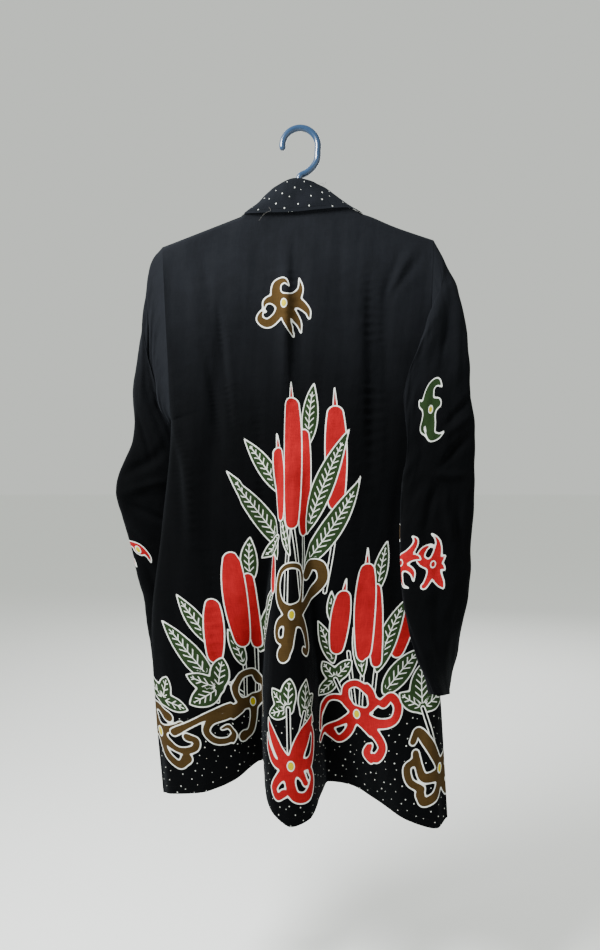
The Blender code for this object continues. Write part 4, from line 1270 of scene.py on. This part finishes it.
def makeFront(side):
    word = wordOf(side)
    even = np.linspace(0, 1, front["columns"] + 1)
    across = even + ((1 - np.cos(math.pi * even)) / 2 - even) * front["closerAtEdges"]
    down = rowsBetween(front["rows"]) / front["rows"][-1][1]
    acrossGrid, downGrid = np.meshgrid(across, down)
    points = frontPoint(side, acrossGrid, downGrid)
    u = arcs(points, 1)
    u = -side * (points[:, -1:, 0] * side + u[:, -1:] - u)
    v = points[0, :, 2][None] - arcs(points, 0)
    sheet = newPrint(points, u, v, fromFront=True)
    drawAll(sheet, frontPrint[word])
    kept = smooth(acrossGrid / front["calmSide"]) * smooth((1 - acrossGrid) / front["calmEdge"])
    kept = kept * smooth(downGrid / front["calmTop"])
    height = creaseHeight(front["creases"][word], points[..., 0], points[..., 2])
    height = height + wavesOver(u, v * front["stretch"], front["waves"], front["seed"] + side)
    grid, out = wrinkled((points, u, v, printFields(sheet)), side, kept, height)
    edges["front" + word] = (grid[0], out)
    points, u, v, fields = turnHem(grid, out)
    piece = meshFromGrid("front" + word.capitalize(), points, u, v, side, printedCotton, fields)
    finishPiece(piece, "front_" + word)
    reportCloth(piece)


sleeve = {
    "columns": 196, "rows": 226, "closerAtTop": 1.08,
    "waves": [(0.080, 0.0013), (0.034, 0.00045), (0.014, 0.00012)], "seed": 40, "stretch": 0.7,
    "calmTop": 0.08, "calmSeam": 0.04,
    # the far side's creases: mirrored, a little lower, wider and softer
    "farAcross": -0.92, "farLower": 20, "farWidth": 1.15, "farHeight": 0.85,
    # height at which the sleeve lies against the side under the arm, and how far it goes in
    "tuck": {"left": (-0.441, 0.0095), "right": (-0.420, 0.001)}, "tuckSpan": 0.022,
    # x, z of three points on the side of the back, then width and height, in millimetres
    "creases": {
        "left": [
            (-268, -520, -232, -500, -196, -470, 8.5, -3.8),
            (-272, -545, -236, -540, -186, -520, 7.5, 3),
            (-266, -560, -230, -570, -180, -600, 8, -3.4),
            (-258, -590, -222, -620, -180, -660, 8, 2.4),
            (-246, -420, -232, -450, -222, -500, 7, -2.6),
            (-226, -260, -216, -340, -214, -430, 7.5, -2.4),
            (-236, -270, -232, -350, -236, -420, 7, 2),
            (-240, -640, -212, -700, -196, -790, 8, -2.6),
            (-214, -660, -190, -730, -172, -800, 8, 2.2),
        ],
        "right": [
            (248, -462, 222, -478, 202, -506, 8, -4.2),
            (252, -404, 234, -424, 212, -446, 6, -3.4),
            (250, -430, 230, -446, 206, -462, 6.5, 3),
            (190, -512, 208, -522, 240, -516, 6, 3.4),
            (196, -530, 186, -562, 180, -604, 8, -4),
            (212, -530, 206, -566, 222, -612, 6.5, 3.4),
            (230, -540, 222, -580, 236, -640, 7, -2.8),
            (226, -250, 214, -310, 206, -370, 8, -2.8),
            (238, -260, 230, -320, 230, -390, 7.5, 2.4),
            (196, -640, 202, -700, 196, -770, 8, -2.6),
            (222, -650, 218, -710, 212, -770, 7.5, 2.2),
        ],
    },
}

# a third number marks a place given in the flat cloth, on the side that faces forward
sleevePrint = {
    "left": [
        ("scroll", (-245, -630), "sickle", "red", 0.80, 0),
        ("scroll", (-110, -600, 0), "claw", "green", 1.0, 30),
        ("scroll", (-126, -400, 0), "claw", "brown", 0.9, 80),
    ],
    "right": [
        ("scroll", (190, -422), "claw", "green", 0.76, 0),
        ("scroll", (191, -642), "ember", "red", 0.74, 0, False, "red"),
        ("scroll", (160, -638, -17, 0), "spark", "red", 0.80, 0, False, "red"),
        ("scroll", (100, -560, 0), "claw", "brown", 1.0, 60),
        ("scroll", (126, -370, 0), "claw", "red", 0.9, 100),
    ],
}


def makeSleeve(side):
    word = wordOf(side)
    around = np.linspace(-0.5, 0.5, sleeve["columns"] + 1)
    down = np.linspace(0, 1, sleeve["rows"] + 1) ** sleeve["closerAtTop"]
    aroundGrid, downGrid = np.meshgrid(around, down)
    points = sleevePoint(side, aroundGrid, downGrid)
    tuckZ, tuckIn = sleeve["tuck"][word]
    inner = ((1 - np.cos(2 * math.pi * aroundGrid)) / 2) ** 2
    near = np.exp(-(((points[..., 2] - tuckZ) / sleeve["tuckSpan"]) ** 2))
    points[..., 0] -= side * tuckIn * inner * near
    middle = sleeve["columns"] // 2
    u = arcs(points, 1)
    u = -side * (u - u[:, middle:middle + 1])
    v = points[0, middle, 2] - arcs(points, 0)[:, middle:middle + 1] + 0 * u
    sheet = newPrint(points, u, v)
    drawAll(sheet, sleevePrint[word])
    flatCreases = []
    for x0, z0, x1, z1, x2, z2, width, height in sleeve["creases"][word]:
        ends = [placeOn(sheet, x, z) for x, z in ((x0, z0), (x1, z1), (x2, z2))]
        flatCreases.append((*ends[0], *ends[1], *ends[2], width, height))
        far = [part for u0, v0 in ends for part in (sleeve["farAcross"] * u0, v0 - sleeve["farLower"])]
        flatCreases.append((*far, sleeve["farWidth"] * width, sleeve["farHeight"] * height))
    kept = smooth(downGrid / sleeve["calmTop"]) * smooth((0.5 - np.abs(aroundGrid)) / sleeve["calmSeam"])
    waves = wavesOver(u, v * sleeve["stretch"], sleeve["waves"], sleeve["seed"] + side)
    height = creaseHeight(flatCreases, u, v) + waves
    grid, out = wrinkled((points, u, v, printFields(sheet)), -side, kept, height)
    edges["sleeve" + word] = (grid[0], out)
    points, u, v, fields = turnHem(grid, out)
    piece = meshFromGrid("sleeve" + word.capitalize(), points, u, v, -side, printedCotton, fields)
    finishPiece(piece, "sleeve_" + word)
    reportCloth(piece)


band = {
    "columns": 14, "rows": 190, "wall": 0.0022, "waves": [(0.060, 0.0006)], "seed": 60,
    "calmSeam": 0.2, "calmTop": 0.05,
}


def makeBand(side):
    word = wordOf(side)
    across, down = np.linspace(0, 1, band["columns"] + 1), np.linspace(0, 1, band["rows"] + 1)
    acrossGrid, downGrid = np.meshgrid(across, down)
    points = bandPoint(side, acrossGrid, downGrid)
    u = arcs(points, 1)
    v = points[0, 0, 2] - arcs(points, 0)[:, :1] + 0 * u
    out = outward(points, side)
    kept = smooth(acrossGrid / band["calmSeam"]) * smooth(downGrid / band["calmTop"])
    points = points + out * (wavesOver(u, v, band["waves"], band["seed"] + side) * kept)[..., None]
    edges["band" + word] = (points + out * band["wall"] / 2, out)
    points, u = doubled(points, u, out, band["wall"])
    v = np.tile(v[:, :1], (1, points.shape[1]))
    piece = meshFromGrid("band" + word.capitalize(), points, u, v, side, dottedCotton)
    finishPiece(piece, "band_" + word)
    reportCloth(piece)


neckBand = {
    "columns": 90, "rows": 17, "underSeam": 0.05,
    "waves": [(0.050, 0.0007), (0.020, 0.0002)], "seed": 71, "calmSeam": 0.2,
}


def makeNeckband():
    across, up = np.linspace(0, 1, neckBand["columns"] + 1), np.linspace(0, 1, neckBand["rows"] + 1)
    acrossGrid, upGrid = np.meshgrid(across, up, indexing="ij")
    upGrid = upGrid - neckBand["underSeam"] * (1 - upGrid) * np.sin(math.pi * acrossGrid) ** 0.5
    points = neckbandPoint(acrossGrid, upGrid)
    length = arcs(points, 0)[:, :1]
    v = arcs(points, 1)
    out = outward(points, 1)
    waves = wavesOver(length + 0 * v, v, neckBand["waves"], neckBand["seed"])
    points = points + out * (waves * smooth(upGrid / neckBand["calmSeam"]))[..., None]
    edges["neckband"] = (points + out * band["wall"] / 2, out)
    points, v = doubled(points, v, out, band["wall"])
    u = np.tile(length, (1, points.shape[1]))
    piece = meshFromGrid("neckBand", points, u, v, 1, dottedCotton)
    finishPiece(piece, "neckband")
    reportCloth(piece)


makeBack()
for side in (-1, 1):
    makeFront(side)
    makeSleeve(side)
    makeBand(side)
makeNeckband()
print("cloth pieces ready")


hanger = {
    "tube": 0.0045,  # radius
    "halfWidth": 0.1945, "barDrop": 0.027, "bend": 0.012, "topBend": 0.020,
    "hookX": 0.0034, "hookRadius": 0.0266, "hookOpens": 186, "hookSwell": 1.08,
    "hookSteps": 48, "neckSteps": 44, "intoArms": 0.6, "capAngles": (1.52, 1.3, 1.05, 0.75, 0.4),
    "clothGap": 0.00175,
}
hookTurns = table("step x z", [
    (0, 30, -22), (1, 29.2, -40), (2, 23.2, -53),
    (3, 13, -62.2), (4, 3.5, -67.5), (5, 0, -78),
])


def armZ(x):
    lower = (hanger["tube"] + hanger["clothGap"]) / math.cos(math.atan(shirt["shoulderSlope"]))
    return float(shoulderZ(x)) - lower


def roundRod(name, places, thick, material, radii=None, cyclic=False, soft=False):
    # a round rod or thread through these places; a soft one bends smoothly between them
    curve = bpy.data.curves.new(name, "CURVE")
    curve.dimensions = "3D"
    curve.bevel_depth = thick
    curve.bevel_resolution = 2 if soft else 7
    curve.use_fill_caps = not (cyclic or soft)
    spline = curve.splines.new("NURBS" if soft else "POLY")
    spline.points.add(len(places) - 1)
    for i, place in enumerate(places):
        spline.points[i].co = (*place, 1)
        spline.points[i].radius = radii[i] if radii else 1.0
    spline.use_cyclic_u = cyclic
    if soft:
        spline.use_endpoint_u = True
        spline.resolution_u = 8
    curve.materials.append(material)
    return addObject(name, curve)


def roundedOutline(corners, radii, steps=14):
    points = []
    for i, (corner, radius) in enumerate(zip(corners, radii)):
        before = (corners[i - 1] - corner).normalized()
        after = (corners[(i + 1) % len(corners)] - corner).normalized()
        half = before.angle(after) / 2
        middle = corner + (before + after).normalized() * radius / math.sin(half)
        start = (corner + before * radius / math.tan(half) - middle).normalized()
        end = (corner + after * radius / math.tan(half) - middle).normalized()
        points += [middle + start.slerp(end, step / steps) * radius for step in range(steps + 1)]
    return points


def makeHanger():
    right, left, tube = hanger["halfWidth"], -hanger["halfWidth"], hanger["tube"]
    corners = [Vector((0, 0, armZ(0))), Vector((right, 0, armZ(right))),
               Vector((right, 0, armZ(right) - hanger["barDrop"])),
               Vector((left, 0, armZ(left) - hanger["barDrop"])), Vector((left, 0, armZ(left)))]
    outline = roundedOutline(corners, [hanger["topBend"]] + [hanger["bend"]] * 4)
    frameTube = roundRod("hangerFrame", outline, tube, hangerPlastic, cyclic=True)
    finishPiece(frameTube, "hanger")


def makeHook():
    radius, tube = hanger["hookRadius"], hanger["tube"]
    points = [(hanger["hookX"] + math.cos(angle) * radius, 0, tube - radius + math.sin(angle) * radius)
              for angle in np.radians(np.linspace(hanger["hookOpens"], 0, hanger["hookSteps"]))]
    for step in np.linspace(0, hookTurns["step"][-1], hanger["neckSteps"])[1:]:
        x, z = along(hookTurns, "step", "x", step), along(hookTurns, "step", "z", step)
        points.append((float(x), 0, float(z)))
    points.append((0, 0, armZ(0) + tube * hanger["intoArms"]))
    start, onward = Vector(points[0]), (Vector(points[0]) - Vector(points[1])).normalized()
    roundEnd = [(tuple(start + onward * tube * math.sin(angle)), math.cos(angle))
                for angle in hanger["capAngles"]]
    radii = [share for _, share in roundEnd] + [1.0] * len(points)
    points = [place for place, _ in roundEnd] + points
    radii = [share * hanger["hookSwell"] for share in radii]
    hookTube = roundRod("hangerHook", points, tube, hangerPlastic, radii)
    finishPiece(hookTube, "hook")


makeHanger()
makeHook()
print("hanger ready")


stitch = {
    "length": 0.0021, "pitch": 0.0029, "thick": 0.00034, "proud": 0.00012, "aboveHem": 0.011,
    "start": 0.004, "end": 0.006,
    # its start, middle and end: how high and how wide, as shares of its thickness
    "bar": [(0, -0.24, 0.5), (1, 0.4, 1.0), (2, -0.24, 0.5)],
}
threadRadius = {"loose": 0.00022, "fray": 0.00014}
# x, z of each thread and how far it stands off the neckband, in millimetres
looseThread = [
    (-58, -138.5, 0.4), (-53, -131, 1.2), (-47, -126.2, 1.8),
    (-41, -124.8, 1.4), (-39.5, -123, 1), (-43.5, -118.5, 1.6),
]
frays = [
    [(30, -85, 0.2), (35, -81, 3), (38.5, -82, 4.6), (37, -85, 5)],
    [(33, -87, 0.2), (40, -85, 2), (41.5, -80, 3.4)],
    [(86, -122, 0.2), (89, -124, 3), (93, -123.5, 5), (92.5, -128.5, 5)],
    [(90, -126, 0.2), (96, -125, 2), (100, -126.8, 2.8)],
]


def onCloth(key, x, z, proud):
    # a place this far off the cloth, in front of x and z
    points, out = edges[key]
    away = np.hypot(points[..., 0] - x, points[..., 2] - z)
    nearest = np.unravel_index(away.argmin(), away.shape)
    place = points[nearest] + out[nearest] * proud
    return float(x), float(place[1]), float(z)


def stitchRow(name, points, normals):
    # even running stitches along a seam: each a small faceted bar that dips into the cloth
    length = np.concatenate([[0], np.cumsum(np.linalg.norm(np.diff(points, axis=0), axis=1))])
    starts = np.arange(stitch["start"], length[-1] - stitch["end"], stitch["pitch"])
    corners, faces = [], []
    for start in starts:
        at = start + stitch["length"] * np.array([0.0, 0.5, 1.0])
        line = np.stack([np.interp(at, length, points[:, i]) for i in range(3)], axis=-1)
        up = unit(np.stack([np.interp(at, length, normals[:, i]) for i in range(3)], axis=-1))
        run = unit(line[-1] - line[0])
        side = unit(np.cross(run, up))
        first = len(corners)
        for place, rise, wide in stitch["bar"]:
            middle = line[place] + up[place] * (stitch["proud"] + stitch["thick"] * rise)
            for angle in (0, 90, 180, 270):
                corners.append(middle + stitch["thick"] * wide / 2 * (
                    side[place] * math.cos(math.radians(angle)) + up[place] * math.sin(math.radians(angle))))
        for ring in (0, 4):
            for i in range(4):
                j = (i + 1) % 4
                faces.append((first + ring + i, first + ring + j, first + ring + 4 + j, first + ring + 4 + i))
        faces += [(first + 3, first + 2, first + 1, first), tuple(range(first + 8, first + 12))]
    mesh = bpy.data.meshes.new(name)
    mesh.from_pydata([tuple(corner) for corner in corners], [], faces)
    mesh.shade_smooth()
    mesh.materials.append(blackThread)
    piece = addObject(name, mesh)
    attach(piece, body)


def rowAbove(points, out, rise):
    # the row across the grid that lies this far above its last one
    height = arcs(points, 0)
    index = int(np.argmin(np.abs((height[-1:] - height).mean(axis=1) - rise)))
    return points[index], out[index]


def makeStitches():
    for key in ("back", "frontleft", "frontright", "sleeveleft", "sleeveright"):
        stitchRow(key + "HemStitches", *rowAbove(*edges[key], stitch["aboveHem"]))
    for key in ("bandleft", "bandright"):
        points, out = edges[key]
        stitchRow(key + "Stitches", points[:, 1], out[:, 1])
        stitchRow(key + "EdgeStitches", points[:, -2], out[:, -2])
    points, out = edges["neckband"]
    stitchRow("neckbandStitches", points[:, 2], out[:, 2])


def makeThread(name, path, thick, material):
    places = [onCloth("neckband", *place) for place in np.array(path) * mm]
    piece = roundRod(name, places, thick, material, soft=True)
    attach(piece, body)


def makeThreads():
    makeThread("looseThread", looseThread, threadRadius["loose"], paleThread)
    for i, path in enumerate(frays, 1):
        makeThread(f"fray{i}", path, threadRadius["fray"], blackThread)


makeStitches()
makeThreads()
print("stitches and threads ready")


view = {"x": 0.003, "z": -0.516, "distance": 1.15, "tall": 1.425}
# name, place, target, size, watts, colour
lights = [
    ("keyLight", (-0.78, -0.56, 0.36), (0.05, 0, -0.30), 0.5, 66, (0.97, 0.99, 1.0)),
    ("fillLight", (2.0, -2.0, -0.2), (0, 0, -0.5), 2.2, 14, (0.94, 0.97, 1.0)),
    ("backLight", (0.6, 2.4, 0.9), (0, 0, -0.4), 2.0, 50, (1, 1, 1)),
]
studio = {"floorZ": -1.32, "halfWidth": 30.0, "wall": (0.76, 0.79, 0.74, 1), "wallLight": 0.95}


def makeCamera():
    data = bpy.data.cameras.new("camera")
    data.sensor_width = 36.0
    data.lens = data.sensor_width * view["distance"] / view["tall"]
    camera = addObject("camera", data)
    camera.location = (view["x"], -view["distance"], view["z"])
    camera.rotation_euler = (math.pi / 2, 0, 0)
    bpy.context.scene.camera = camera


def makeLight(name, place, target, size, power, colour):
    data = bpy.data.lights.new(name, "AREA")
    data.shape = "DISK"
    data.size = size
    data.energy = power
    data.color = colour
    lamp = addObject(name, data)
    lamp.location = place
    lamp.rotation_euler = (Vector(target) - Vector(place)).to_track_quat("-Z", "Y").to_euler()


def makeFloor():
    mesh = bpy.data.meshes.new("floor")
    half, z = studio["halfWidth"], studio["floorZ"]
    corners = [(-half, -half, z), (half, -half, z), (half, half, z), (-half, half, z)]
    mesh.from_pydata(corners, [], [(0, 1, 2, 3)])
    material, _, _ = newMaterial("paleFloor", **{"Base Color": (0.93, 0.94, 0.92, 1), "Roughness": 0.9})
    mesh.materials.append(material)
    floor = addObject("floor", mesh)


def makeWorld():
    world = bpy.data.worlds.new("studio")
    world.use_nodes = True
    background = world.node_tree.nodes["Background"].inputs
    feed(world.node_tree, background, {0: studio["wall"], 1: studio["wallLight"]})
    bpy.context.scene.world = world


makeCamera()
makeFloor()
for light in lights:
    makeLight(*light)
makeWorld()
print("camera, lights and floor ready")
